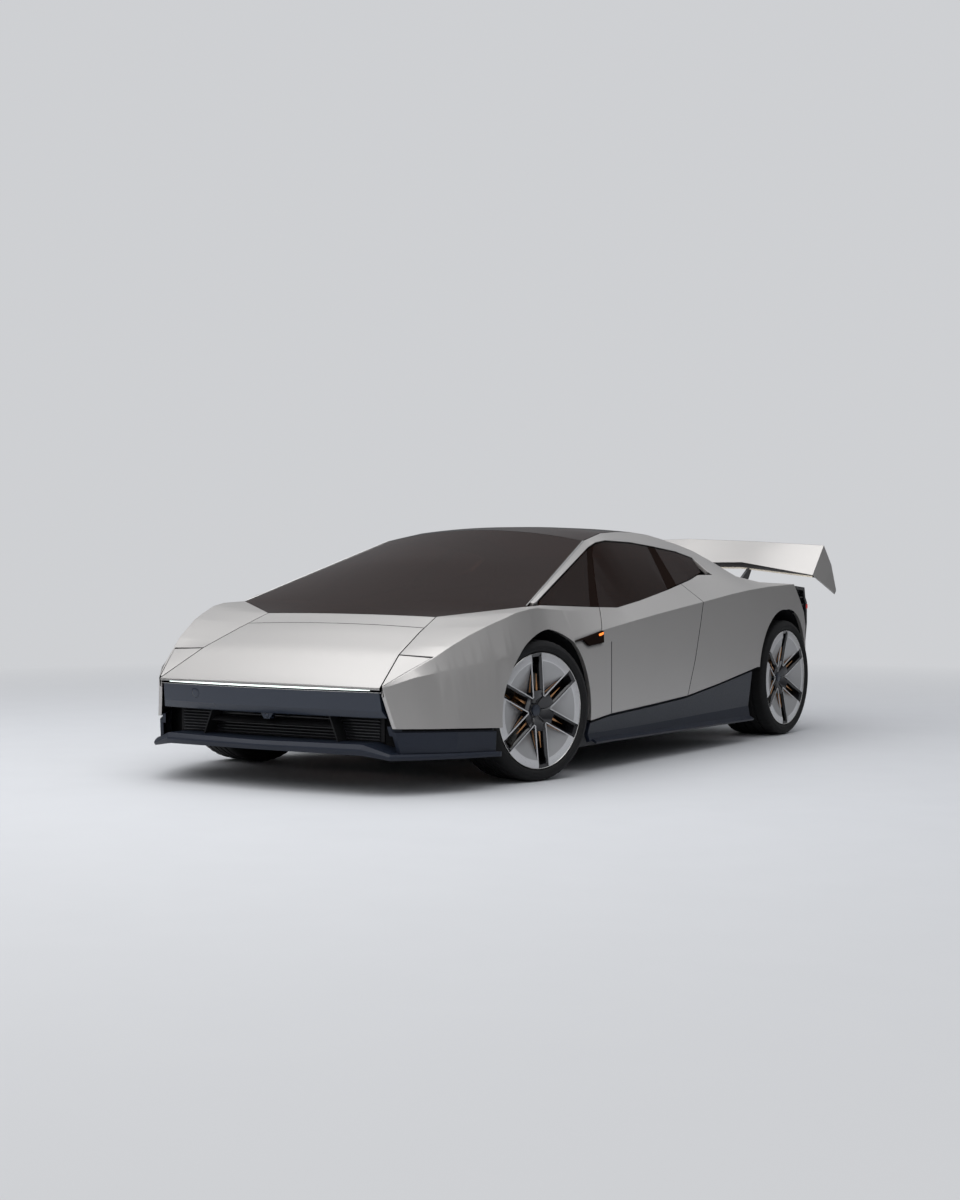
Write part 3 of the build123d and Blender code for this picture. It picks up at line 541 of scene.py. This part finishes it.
def bronze_fins(place, dish, cap_depth):
    """Tapering bronze blades in a spoke's slot and on both its side walls."""
    ridge = []
    for radius, half in ((0.094, 0.0070), (0.137, 0.0038), (0.180, 0.0005)):
        top = spoke_depth(radius, dish, cap_depth) - 0.009
        ridge.append([place @ Vector((radius, t, d)) for t, d in (
            (-half, top - 0.003), (0.0, top), (half, top - 0.003), (0.0, top - 0.006))])
    blades = [loft(ridge, 2)]
    for hand in (1, -1):
        panel = []
        for radius, share in ((0.092, 0.13), (0.135, 0.10), (0.180, 0.02)):
            top = spoke_depth(radius, dish, cap_depth)
            foot = cover_depth(radius)
            middle = top + (foot - top) * 0.5
            half = abs(foot - top) * share
            panel.append([place @ Vector((radius, hand * t, d)) for t, d in (
                (SPOKE_HALF - 0.001, middle + half), (SPOKE_HALF + 0.0012, middle + half * 0.8),
                (SPOKE_HALF + 0.0012, middle - half * 0.8), (SPOKE_HALF - 0.001, middle - half))])
        blades.append(loft(panel, 2))
    return blades


def dress_wheel(corner, place, width, dish, cap_depth):
    """Rim, spokes, covers, hub cap and brake disc in place of the plain wheel solid."""
    body = f"wheel_{corner}"
    barrel = [(LIP_RADIUS, -0.006), (LIP_RADIUS, -0.014), (BEAD_RADIUS, -0.018),
              (BEAD_RADIUS, -width), (0.258, -width), (0.252, -width * 0.5), (0.2595, -0.030),
              (0.2615, -0.014), (0.270, -0.0105)]
    edge = [(0.2800, -0.0062), (0.2785, -0.0048), (0.2772, -0.0062), (0.2785, -0.0075)]
    add_piece(f"rim_{corner}", [lathe(barrel, 120, place), lathe(edge, 120, place, 1)],
              ["gloss_black", "bright"], body, 35, [f"wheel_{corner}"])

    rails, edges, fins = [], [], []
    for i in range(SPOKES):
        turn = place @ Matrix.Rotation(i * math.tau / SPOKES, 4, "Z")
        rails.append(spoke_core(turn, dish, cap_depth))
        for hand in (1, -1):
            rails.append(spoke_rail(turn, hand, dish, cap_depth))
            edges.append(spoke_edge(turn, hand, dish, cap_depth))
        fins += bronze_fins(turn, dish, cap_depth)
    hub = [(0.0, -cap_depth - 0.004), (0.030, -cap_depth - 0.005), (0.034, -cap_depth - 0.010),
           (HUB_CORE - 0.002, COVER_LOW - 0.004), (0.074, -0.112), (0.0, -0.112)]
    add_piece(f"spokes_{corner}", rails + edges + fins + [lathe(hub, 48, place)],
              ["gloss_black", "cover_band", "bronze"], body, 25)

    parts = []
    for i in range(SPOKES):
        verts, facet, band = cover_sector(place, (i + 0.5) * math.tau / SPOKES)
        # Inner facets take the darker copy of the covers' finish as painted shade, bands the lighter
        # one.
        parts += [(verts, facet, 0), (verts, band, 1)]
    covers = add_piece(f"covers_{corner}", parts, ["cover", "cover_band"], body, 14)
    first_modifier(covers, "weld", "WELD").merge_threshold = WELD_GAP
    thick = first_modifier(covers, "plate", "SOLIDIFY")
    thick.thickness = 0.004
    thick.offset = -1.0

    cap = [(0.0, 0.004), (0.019, 0.0035), (0.0215, 0.002), (0.0225, 0.003), (0.0262, 0.002),
           (0.0275, -0.001), (0.029, -0.012), (0.0, -0.012)]
    add_piece(f"cap_{corner}", [lathe([(r, d - cap_depth) for r, d in cap], 40, place)],
              ["gloss_dark"], body, 25)

    disc = [(0.075, -0.116), (0.100, -0.116), (0.104, -0.1162), (0.1885, -0.1162), (0.1895, -0.117),
            (0.1895, -0.143), (0.1885, -0.1438), (0.104, -0.1438), (0.075, -0.1438)]
    bell = [(0.060, -0.090), (0.098, -0.093), (0.102, -0.113), (0.060, -0.113)]
    holes = []
    for row, radius in enumerate((0.122, 0.146, 0.170)):
        for i in range(DISC_HOLES):
            spot = place @ Matrix.Rotation((i + row * 0.33) * math.tau / DISC_HOLES, 4, "Z")
            spot = spot @ Matrix.Translation((radius, 0.0, 0.0))
            holes.append(lathe([(0.0, -0.1158), (0.0034, -0.1158), (0.0036, -0.1168),
                                (0.0, -0.1168)], 8, spot, 2))
    add_piece(f"brake_disc_{corner}", [lathe(disc, 96, place), lathe(bell, 48, place, 1)] + holes,
              ["disc", "bronze", "trim"], body)


def dress_caliper(corner, place, body):
    """Bronze caliper straddling the disc, on the upright."""
    block = [(0.118, -0.1085), (0.150, -0.1020), (0.196, -0.1020), (0.207, -0.108), (0.207, -0.150),
             (0.196, -0.158), (0.195, -0.150), (0.195, -0.1125), (0.118, -0.1125)]
    turned = lathe(block, 18, place, turn=math.radians(62), start=math.radians(59))
    bevelled(add_piece(f"caliper_{corner}", [turned], ["bronze"], body), 0.0015)


def dress_corners():
    """All four wheels, tyres, calipers and arch liners."""
    for corner, side, station, lip_x, width, steer, upright, dish, cap_depth, spin in CORNERS:
        place = hub_place(side, station, lip_x, steer)
        parked = place @ Matrix.Rotation(math.radians(spin), 4, "Z")
        dress_tyre(corner, place, width)
        dress_wheel(corner, parked, width, dish, cap_depth)
        dress_caliper(corner, place, upright)
        arch_liner(corner, side, station)


LINER_REACH = {  # front or not: degrees round the hub from the front, distance from the hub
    True: [(-8, 0.410), (100, 0.408), (140, 0.410), (190, 0.426)],
    False: [(4, 0.434), (58, 0.424), (91, 0.408), (120, 0.414), (150, 0.392), (178, 0.352)]}
LINER_SILL = 0.486  # the inner wall stays above the upper arms
LINER_OUTER = 0.962


def between(table, value):
    """Straight-line reading of a table of (argument, value)."""
    for (x0, y0), (x1, y1) in zip(table, table[1:]):
        if value <= x1:
            return y0 + (y1 - y0) * (value - x0) / (x1 - x0)
    return table[-1][1]


def arch_liner(corner, side, station):
    """Dark felt liner over a wheel, meeting the inner side of the bodywork."""
    front = station == 0.0
    end = "left" if side > 0 else "right"
    tree = skin_tree(f"fender_{end}", f"door_{end}", f"quarter_{end}", "sills", "front_valance")
    table = LINER_REACH[front]
    sections = []
    steps = 36
    last_x = 0.93
    inner_x = 0.455 if front else 0.600
    for i in range(steps + 1):
        turn = table[0][0] + (table[-1][0] - table[0][0]) * i / steps
        angle = math.radians(turn)
        reach = between(table, turn)
        spot = (side * 0.700, behind(station) - reach * math.cos(angle),
                TYRE_RADIUS + reach * math.sin(angle))
        hit = touch(tree, spot, (side, 0.0, 0.0), (side * last_x, 0.0, 0.0))
        last_x = min(abs(hit.x) + 0.004, LINER_OUTER)
        ripple = 0.0012 * (i % 2)
        ring = []
        for x, grow in ((inner_x, 0.0), (last_x, 0.0), (last_x, 0.003), (inner_x, 0.003)):
            radius = reach + grow + ripple
            ring.append((side * x, behind(station) - radius * math.cos(angle),
                         TYRE_RADIUS + radius * math.sin(angle)))
        sections.append(ring)
    wall = []
    steps = 16
    for i in range(steps + 1):
        turn = math.pi * (0.12 + 0.76 * i / steps)
        reach = between(table, math.degrees(turn)) + 0.002
        y = behind(station) - reach * math.cos(turn)
        top = max(TYRE_RADIUS + reach * math.sin(turn), LINER_SILL + 0.001)
        wall.append([(side * (inner_x - d), y, z) for d, z in (
            (0.0, LINER_SILL), (0.0, top), (0.003, top), (0.003, LINER_SILL))])
    add_piece(f"arch_liner_{corner}", [loft(sections), loft(wall)], ["carpet"], smooth_angle=40)


# ---- nose and tail details
AHEAD = -3.0  # where rays start, before and behind the car
ASTERN = 3.0
REARWARD = (0.0, 1.0, 0.0)
FORWARD = (0.0, -1.0, 0.0)
TOW_EYE = (-0.42, 0.430)


def wing_strip():
    """Thin champagne strip along the lower edge of the wing's dark lip."""
    line = [(-0.928, 3.314, 0.928), (-0.470, 3.2765, 0.980), (0.0, 3.2705, 0.980),
            (0.470, 3.2765, 0.980), (0.928, 3.314, 0.928)]
    sections = []
    for x, station, z in line:
        y = behind(station)
        sections.append([(x, y - 0.004, z + 0.0085), (x, y + 0.002, z + 0.0085),
                         (x, y + 0.002, z - 0.0005), (x, y - 0.004, z - 0.0005)])
    add_piece("wing_strip", [loft(sections)], ["champagne"], "chassis")


def intake_louvres():
    """Seven slats across the mouth, behind the bar."""
    slats = []
    y = behind(-0.8385)
    for row in range(7):
        z = 0.246 + row * 0.0145
        slats.append(loft([[(x, y, z), (x, y - 0.006, z - 0.003), (x, y - 0.006, z),
                            (x, y, z + 0.006)] for x in (-0.58, -0.29, 0.0, 0.29, 0.58)]))
    add_piece("intake_louvres", slats, ["gloss_black"])


def nose_sensor():
    """Round lens of the sensor under the bar."""
    place = Matrix.Translation((0.0, behind(-0.9352), 0.340)) @ Matrix.Rotation(math.pi / 2, 4, "X")
    lens = [(0.0, 0.004), (0.006, 0.0034), (0.0095, 0.001), (0.011, 0.0016), (0.012, 0.0),
            (0.0, -0.004)]
    add_piece("nose_sensor", [lathe(lens, 28, place)], ["gloss_dark"], "chassis", 20)


def intake_ends():
    """Dark panels that close the mouth from its ends to the valance."""
    low, high = 0.192, 0.452
    walls = [loft([[(side * x, y, z) for z in (low, high)] +
                   [(side * (x - 0.004), y + 0.005, z) for z in (high, low)]
                   for x, y in ((0.598, -2.100), (0.690, -2.035), (0.790, -1.965))])
             for side in (1, -1)]
    add_piece("intake_ends", walls, ["carpet"])


NOSE_EDGE_HIGHLIGHTS = (  # painted highlights on the nose: name, node it lies on, body, height, half its thickness, half its span
    ("hood_edge_highlight", "hood", "hood", 0.4862, 0.0019, 0.638),
    ("bar_edge_highlight", "bumper_bar", "chassis", 0.4692, 0.0012, 0.648))


def nose_edge_highlights():
    """Painted highlights: bright metal lines along the front edges of the hood and of the bar below
    it, where these edges catch the light.
    """
    steps = 26
    for name, node, body, z, half, span in NOSE_EDGE_HIGHLIGHTS:
        tree = skin_tree(node)
        sections = []
        for i in range(steps + 1):
            x = span * (2 * i / steps - 1)
            y = touch(tree, (x, AHEAD, z), REARWARD, (x, behind(-0.93), z)).y
            sections.append([(x, y - 0.0009, z - half), (x, y - 0.0009, z + half),
                             (x, y + 0.003, z + half), (x, y + 0.003, z - half)])
        add_piece(name, [loft(sections)], ["bright"], body)


def tow_cap():
    """Flush cap over the towing eye, fitted to the bar's face."""
    tree = skin_tree("bumper_bar")
    count = 24
    rim = []
    for i in range(count):
        turn = math.tau * i / count
        x, z = TOW_EYE[0] + 0.026 * math.cos(turn), TOW_EYE[1] + 0.026 * math.sin(turn)
        rim.append(touch(tree, (x, AHEAD, z), REARWARD, (x, behind(-0.94), z)))
    middle = sum(rim, Vector()) / count
    verts = [middle + Vector((0.0, -0.0006, 0.0))]
    for share, push in ((0.5, -0.0006), (0.86, -0.0004), (0.905, 0.0002), (0.905, 0.004)):
        verts += [middle + (point - middle) * share + Vector((0.0, push, 0.0)) for point in rim]
    faces = [(0, 1 + i, 1 + (i + 1) % count) for i in range(count)]
    for row in range(3):
        first = 1 + row * count
        faces += [(first + i, first + count + i, first + count + (i + 1) % count,
                   first + (i + 1) % count) for i in range(count)]
    add_piece("tow_cap", [(verts, faces, 0)], ["gloss_dark"], "chassis")


def gap_shade_strip(name, line, drop, height, tree):
    """Painted shade: thin black strip laid on the bodywork a little below a line, on both sides,
    where a panel gap is dark.
    """
    parts = []
    for side in (1, -1):
        sections = []
        for station, z in line:
            y = behind(station)
            ring = []
            for down, proud in ((drop, 0.0010), (drop + height, 0.0010), (drop + height, -0.004),
                                (drop, -0.004)):
                hit = touch(tree, (side * 1.3, y, z - down), (-side, 0.0, 0.0),
                            (side * 0.9, y, z - down))
                ring.append((hit.x + side * proud, y, z - down))
            sections.append(ring)
        parts.append(loft(sections))
    add_piece(name, parts, ["carpet"])


def belly_screen():
    """Dark centre wall under the motor, against views from one rear wheel to the other."""
    sections = []
    for station, low in ((1.98, 0.20), (2.25, 0.195), (2.60, 0.20), (2.85, 0.24), (3.10, 0.27)):
        y = behind(station)
        sections.append([(-0.002, y, low), (0.002, y, low), (0.002, y, 0.505), (-0.002, y, 0.505)])
    add_piece("belly_screen", [loft(sections)], ["carpet"])


# top edge of the wall behind each front arch, from the door opening inwards: x, height
FOOT_WALL = ((0.955, 0.700), (0.790, 0.700), (0.774, 0.598), (0.600, 0.598), (0.500, 0.598))


def foot_walls():
    """Carpeted walls that part the footwells from the front wheels' arches."""
    y, low, thick = -0.818, 0.225, 0.003
    walls = [loft([[(side * x, y, low), (side * x, y, top), (side * (x - thick), y + thick, top),
                    (side * (x - thick), y + thick, low)] for x, top in FOOT_WALL])
             for side in (1, -1)]
    add_piece("foot_walls", walls, ["carpet"])


def body_lines():
    """Black strips of painted shade along the gaps above the skirts, and bright trim up both sides of
    the screen.
    """
    tree = skin_tree("front_valance", "sills")
    gap_shade_strip("valance_gap_shade", [(-0.850, 0.303), (-0.763, 0.3005), (-0.636, 0.298),
                                 (-0.520, 0.292), (-0.420, 0.287)], 0.002, 0.009, tree)
    gap_shade_strip("sill_gap_shade", [(0.480, 0.2665), (0.628, 0.282), (1.040, 0.298), (1.486, 0.319),
                              (1.873, 0.362), (2.300, 0.419)], 0.0045, 0.006, tree)
    line = [(-0.005, 0.8555, 0.841), (0.320, 0.779, 0.9455), (0.650, 0.699, 1.0515),
            (0.969, 0.6215, 1.1540)]
    rails = [tube([(side * x, behind(st), z) for st, x, z in line], 0.0026) for side in (1, -1)]
    add_piece("screen_trim", rails, ["bright"], "chassis", 60)


def blank_plate():
    """Number plate with nothing on it."""
    y = behind(3.266)
    corners = ((-0.26, 0.560), (0.26, 0.560), (0.26, 0.672), (-0.26, 0.672))
    plate = loft([[(x, y + off, z) for x, z in corners] for off in (-0.002, 0.004)])
    bevelled(add_piece("blank_plate", [plate], ["cover_band"], "chassis"), 0.0015)


def tail_louvres():
    """Nine slats at each side of the plate, laid on the tail's face."""
    tree = skin_tree("rear_fascia")
    slats = []
    for side in (1, -1):
        for row in range(9):
            z = 0.500 + row * 0.022
            sections = []
            for x in (0.320, 0.560, 0.840):
                rear = touch(tree, (side * x, ASTERN, z), FORWARD, (side * x, behind(3.25), z)).y
                sections.append([(side * x, rear + off, z + rise) for off, rise in (
                    (-0.004, 0.004), (0.006, -0.001), (0.006, -0.005), (-0.004, -0.004))])
            slats.append(loft(sections))
    add_piece("tail_louvres", slats, ["gloss_black"])


def corner_outlets():
    """Dark panel with eight slats behind each rear wheel."""
    back = [(2.990, 0.880), (3.205, 0.862), (3.225, 0.800), (3.235, 0.640), (3.200, 0.470),
            (3.165, 0.470), (3.150, 0.640), (3.120, 0.720), (3.045, 0.800)]
    parts = []
    for side in (1, -1):
        parts.append(loft([[(side * x, behind(st), z) for st, z in back] for x in (0.872, 0.884)]))
        for row in range(8):
            z = 0.500 + row * 0.045
            first = 3.178 - max(0.0, z - 0.62) * 0.72
            parts.append(loft([[(side * x, behind(st), z + rise) for x, rise in (
                (0.880, -0.004), (0.908, -0.010), (0.908, -0.004), (0.880, 0.006))]
                for st in (first, 3.222)]))
    add_piece("corner_outlets", parts, ["gloss_black"])


# ---- cabin
SEAT_X = 0.33
# sections: offset from the seat's middle, station, height, half width, half thickness, lean
CUSHION = ((0.0, 1.195, 0.352, 0.185, 0.040, 0.0), (0.0, 1.26, 0.376, 0.225, 0.058, 0.0),
           (0.0, 1.42, 0.362, 0.228, 0.055, 0.0), (0.0, 1.58, 0.350, 0.222, 0.055, 0.0),
           (0.0, 1.68, 0.358, 0.190, 0.045, 0.0))
BOLSTER = ((0.200, 1.24, 0.392, 0.034, 0.040, 0.0), (0.202, 1.40, 0.404, 0.040, 0.050, 0.0),
           (0.200, 1.60, 0.402, 0.038, 0.050, 0.0), (0.198, 1.70, 0.430, 0.030, 0.040, 0.5))
BACK_WING = ((0.185, 1.700, 0.470, 0.036, 0.050, 1.15), (0.205, 1.745, 0.580, 0.042, 0.062, 1.18),
             (0.195, 1.810, 0.710, 0.038, 0.055, 1.18), (0.160, 1.865, 0.800, 0.030, 0.040, 1.18))
SEAT_BACK = ((0.0, 1.715, 0.440, 0.170, 0.045, 1.15), (0.0, 1.750, 0.530, 0.200, 0.052, 1.18),
             (0.0, 1.805, 0.665, 0.195, 0.050, 1.18), (0.0, 1.860, 0.780, 0.165, 0.045, 1.18),
             (0.0, 1.890, 0.845, 0.110, 0.036, 1.18))
HEADREST = ((0.0, 1.884, 0.850, 0.080, 0.030, 1.18), (0.0, 1.898, 0.885, 0.105, 0.042, 1.18),
            (0.0, 1.916, 0.925, 0.100, 0.040, 1.18), (0.0, 1.928, 0.948, 0.070, 0.022, 1.18))
SEAT_SHELL = ((1.190, 0.266), (1.700, 0.264), (1.785, 0.400), (1.975, 0.890), (1.930, 0.930),
              (1.895, 0.905), (1.745, 0.430), (1.690, 0.330), (1.190, 0.310))


def seat_block(name, middle, edge, sections, look):
    """Padded block about a seat's middle, its sections' offsets taken towards an edge."""
    sides = 12
    rings = []
    for off, station, z, half, thick, tilt in sections:
        ring = []
        for i in range(sides):
            angle = math.tau * i / sides
            across = math.copysign(abs(math.cos(angle)) ** 0.6, math.cos(angle)) * half
            rise = math.copysign(abs(math.sin(angle)) ** 0.7, math.sin(angle)) * thick
            ring.append((middle + edge * off + across, behind(station) + rise * math.sin(tilt),
                         z + rise * math.cos(tilt)))
        rings.append(ring)
    piece = add_piece(name, [loft(rings)], [look], "chassis", 80)
    smooth = first_modifier(piece, "round", "SUBSURF")
    smooth.levels = smooth.render_levels = 2


def dress_seats():
    """Two bucket seats: shell, cushion, back with bolsters, and headrest."""
    for side, label in ((1, "left"), (-1, "right")):
        x = side * SEAT_X
        seat_block(f"seat_cushion_{label}", x, 0, CUSHION, "leather")
        for edge, tag in ((1, "outer"), (-1, "inner")):
            seat_block(f"seat_bolster_{label}_{tag}", x, edge, BOLSTER, "suede")
            seat_block(f"seat_wing_{label}_{tag}", x, edge, BACK_WING, "suede")
        seat_block(f"seat_back_{label}", x, 0, SEAT_BACK, "leather")
        seat_block(f"headrest_{label}", x, 0, HEADREST, "leather")
    shells = [loft([[(side * SEAT_X + half, behind(st), z) for st, z in SEAT_SHELL]
                    for half in (-0.205, 0.205)]) for side in (1, -1)]
    bevelled(add_piece("seat_shells", shells, ["gloss_black"], "chassis",
                       replaces=["seats"]), 0.008, 3)


# share of the card's height, and depth from the door: pocket, waist, armrest, shoulder
CARD_PROFILE = ((0.0, 0.003), (0.02, 0.009), (0.10, 0.028), (0.15, 0.033), (0.27, 0.034),
                (0.295, 0.028), (0.30, 0.012), (0.50, 0.012), (0.54, 0.026), (0.58, 0.052),
                (0.62, 0.062), (0.67, 0.063), (0.70, 0.056), (0.71, 0.016), (0.90, 0.013),
                (0.98, 0.009), (1.0, 0.003))
CARD_FACE = 0.9035  # just inboard of the door's inner face
CARD_FRONT = -0.568
CARD_LOW = 0.356


def card_band(side, profile, start, end, steps, look):
    """Loft over part of a door card, its profile swelling away from both ends."""
    sections = []
    for i in range(steps + 1):
        t = start + (end - start) * i / steps
        swell = min(1.0, 7.0 * min(t, 1.0 - t) + 0.15)
        ring = []
        for share, depth in profile + ((profile[-1][0], 0.0), (profile[0][0], 0.0)):
            top = 0.690 + 0.062 * t
            z = CARD_LOW + (top - CARD_LOW) * share
            y = CARD_FRONT + t * (0.175 + 0.45 * (z - 0.45) - CARD_FRONT)
            reach = min(depth, 0.009) + max(depth - 0.009, 0.0) * swell
            ring.append((side * (CARD_FACE - reach), y, z))
        sections.append(ring)
    return loft(sections, look)


def dress_doors():
    """Trimmed cards inside the doors: pocket, suede waist, armrest and a bright pull."""
    for side, end in ((1, "left"), (-1, "right")):
        waist = ((0.31, 0.012), (0.32, 0.017), (0.405, 0.019), (0.49, 0.017), (0.50, 0.012))
        pull = ((0.735, 0.012), (0.740, 0.024), (0.765, 0.024), (0.770, 0.012))
        bands = [card_band(side, CARD_PROFILE, 0.0, 1.0, 24, 0),
                 card_band(side, waist, 0.06, 0.94, 20, 1),
                 card_band(side, pull, 0.16, 0.84, 16, 2)]
        add_piece(f"door_card_{end}", bands, ["leather", "suede", "champagne"], f"door_{end}",
                  38)


def steering_yoke():
    """Squared-off suede wheel on its spoke bar and column."""
    axis = Vector((0.0, 0.93, 0.36)).normalized()
    right = Vector((1.0, 0.0, 0.0))
    place = Matrix((right, right.cross(axis), axis)).transposed().to_4x4()
    place.translation = (SEAT_X, behind(0.640), 0.720)
    outline = [(-0.168, -0.02), (-0.172, 0.05), (-0.150, 0.105), (-0.090, 0.112), (0.0, 0.108),
               (0.090, 0.112), (0.150, 0.105), (0.172, 0.05), (0.168, -0.02), (0.155, -0.085),
               (0.100, -0.112), (0.0, -0.116), (-0.100, -0.112), (-0.155, -0.085)]
    sides = 8
    rings = []
    for i, (x, y) in enumerate(outline):
        ahead = Vector(outline[(i + 1) % len(outline)]) - Vector(outline[i - 1])
        normal = Vector((ahead.y, -ahead.x)).normalized()
        ring = []
        for j in range(sides):
            angle = math.tau * j / sides
            ring.append(place @ Vector((x + normal.x * 0.015 * math.cos(angle),
                                        y + normal.y * 0.015 * math.cos(angle),
                                        0.013 * math.sin(angle))))
        rings.append(ring)
    rings.append(rings[0])
    bar = [[place @ Vector((x, y, z)) for y, z in ((-h, 0.008), (h, 0.008), (h * 0.8, -0.010),
                                                   (-h * 0.8, -0.010))]
           for x, h in ((-0.165, 0.012), (-0.06, 0.022), (0.0, 0.038), (0.06, 0.022),
                        (0.165, 0.012))]
    column = [(0.0, 0.0), (0.024, 0.0), (0.022, -0.235), (0.0, -0.235)]
    yoke = add_piece("steering_yoke",
                     [loft(rings, close_ends=False), loft(bar, 1), lathe(column, 20, place, 1)],
                     ["suede", "gloss_black"], smooth_angle=50, replaces=["steering_wheel"])
    first_modifier(yoke, "weld", "WELD").merge_threshold = 0.0001


def dress_cabin():
    """Display, centre console and carpet."""
    screen = [[(x, behind(0.372) + off + lean, z) for x, z, lean in
               ((-0.17, 0.700, 0.0), (0.17, 0.700, 0.0), (0.17, 0.835, 0.02),
                (-0.17, 0.835, 0.02))]
              for off in (0.062, 0.074)]
    bevelled(add_piece("centre_display", [loft(screen)], ["gloss_black"], "chassis"),
             0.002)

    console = [[(half * share, behind(st), z) for share, z in (
        (-1.0, 0.252), (1.0, 0.252), (0.95, top - 0.03), (0.7, top), (-0.7, top),
        (-0.95, top - 0.03))]
        for st, half, top in ((0.46, 0.060, 0.44), (0.62, 0.065, 0.46), (1.00, 0.070, 0.43),
                              (1.30, 0.072, 0.42), (1.62, 0.070, 0.44), (1.70, 0.060, 0.40))]
    bevelled(add_piece("centre_console", [loft(console)], ["leather"], "chassis"),
             0.006, 3)

    carpet = [[(x, behind(st), z) for x, z in ((-0.76, 0.2495), (0.76, 0.2495), (0.76, 0.2535),
                                               (-0.76, 0.2535))] for st in (0.46, 0.9, 1.4, 1.95)]
    add_piece("cabin_carpet", [loft(carpet)], ["carpet"])


# ---- studio, lights and camera
CAMERA_PLACE = Vector((5.966, -9.832, 1.158))
CAMERA_YAW = -0.561
CAMERA_PITCH = -0.029
FOCAL_PIXELS = 2064.7
IMAGE_HEIGHT = 1200
BACKDROP = (0.62, 0.63, 0.65)
WORLD_LOW = 0.10
WORLD_HIGH = 0.75
FLOOR_FADE = (3.2, 8.5)


def build_stage():
    """Pale floor that fades into a backdrop of one even tone far from the car."""
    mat, tree, shader, coords = new_material("studio_floor")
    speck = noise(tree, coords, 3.0, 8.0)
    tree.links.new(colour_mix(tree, speck.outputs["Fac"], (0.56, 0.57, 0.59), (0.60, 0.61, 0.63)),
                   shader.inputs["Base Color"])
    put(shader, Roughness=0.6)
    bump(tree, shader, speck.outputs["Fac"], 0.05, 0.002)
    length_node = tree.nodes.new("ShaderNodeVectorMath")
    length_node.operation = "LENGTH"
    tree.links.new(coords.outputs["Object"], length_node.inputs[0])
    far = ramp(tree, length_node.outputs["Value"], 0.0, 1.0, *FLOOR_FADE)
    glow = put(tree.nodes.new("ShaderNodeEmission"), Color=(*BACKDROP, 1))
    path = tree.nodes.new("ShaderNodeLightPath")
    tree.links.new(ramp(tree, path.outputs["Is Camera Ray"], 0.35, 1.0, 0.0, 1.0),
                   glow.inputs["Strength"])
    blend = tree.nodes.new("ShaderNodeMixShader")
    tree.links.new(far, blend.inputs[0])
    tree.links.new(shader.outputs["BSDF"], blend.inputs[1])
    tree.links.new(glow.outputs["Emission"], blend.inputs[2])
    tree.links.new(blend.outputs["Shader"], tree.nodes["Material Output"].inputs["Surface"])
    mesh = bpy.data.meshes.new("studio_floor")
    half = 80.0
    mesh.from_pydata([(-half, -half, 0), (half, -half, 0), (half, half, 0), (-half, half, 0)], [],
                     [(0, 1, 2, 3)])
    mesh.materials.append(mat)
    new_object("studio_floor", mesh)


def area_light(name, place, aim, size, power):
    """Rectangular soft light of (width, height) pointed at a spot."""
    lamp = bpy.data.lights.new(name, "AREA")
    lamp.energy = power
    lamp.shape = "RECTANGLE"
    lamp.size, lamp.size_y = size
    light = new_object(name, lamp)
    light.location = place
    light.rotation_euler = (Vector(aim) - Vector(place)).to_track_quat("-Z", "Y").to_euler()


def build_lights():
    """Broad overhead softbox, a weak front fill, and a world that darkens towards the horizon."""
    area_light("overhead", (-1.0, -2.5, 6.0), (0, -0.4, 0), (11.0, 12.0), 590)
    area_light("front_fill", (1.5, -9.5, 3.2), (0, -1, 0.5), (4.0, 4.0), 70)
    world = bpy.data.worlds.new("studio_world")
    world.use_nodes = True
    tree = world.node_tree
    ambient = put(tree.nodes["Background"], Color=(0.88, 0.90, 0.94, 1))
    coords = tree.nodes.new("ShaderNodeTexCoord")
    split = tree.nodes.new("ShaderNodeSeparateXYZ")
    tree.links.new(coords.outputs["Generated"], split.inputs[0])
    tree.links.new(ramp(tree, split.outputs["Z"], WORLD_LOW, WORLD_HIGH, 0.02, 0.75),
                   ambient.inputs["Strength"])
    shown = put(tree.nodes.new("ShaderNodeBackground"), Color=(*BACKDROP, 1))
    path = tree.nodes.new("ShaderNodeLightPath")
    either = tree.nodes.new("ShaderNodeMath")
    either.operation = "MAXIMUM"
    tree.links.new(path.outputs["Is Camera Ray"], either.inputs[0])
    tree.links.new(path.outputs["Is Transmission Ray"], either.inputs[1])
    blend = tree.nodes.new("ShaderNodeMixShader")
    tree.links.new(either.outputs[0], blend.inputs[0])
    tree.links.new(ambient.outputs["Background"], blend.inputs[1])
    tree.links.new(shown.outputs["Background"], blend.inputs[2])
    tree.links.new(blend.outputs["Shader"], tree.nodes["World Output"].inputs["Surface"])
    bpy.context.scene.world = world


def build_camera():
    """Camera at the photographed angle."""
    data = bpy.data.cameras.new("camera")
    data.sensor_width = 36.0
    data.lens = 36.0 * FOCAL_PIXELS / IMAGE_HEIGHT
    camera = new_object("camera", data)
    camera.location = CAMERA_PLACE
    forward = Vector((math.sin(CAMERA_YAW) * math.cos(CAMERA_PITCH),
                      math.cos(CAMERA_YAW) * math.cos(CAMERA_PITCH), math.sin(CAMERA_PITCH)))
    camera.rotation_euler = forward.to_track_quat("-Z", "Y").to_euler()
    bpy.context.scene.camera = camera


dress_nodes()
dress_corners()
wing_strip()
intake_louvres()
nose_sensor()
intake_ends()
nose_edge_highlights()
tow_cap()
belly_screen()
foot_walls()
body_lines()
blank_plate()
tail_louvres()
corner_outlets()
dress_seats()
steering_yoke()
dress_cabin()
dress_doors()
build_stage()
build_lights()
build_camera()
bpy.context.scene.view_settings.view_transform = "Standard"
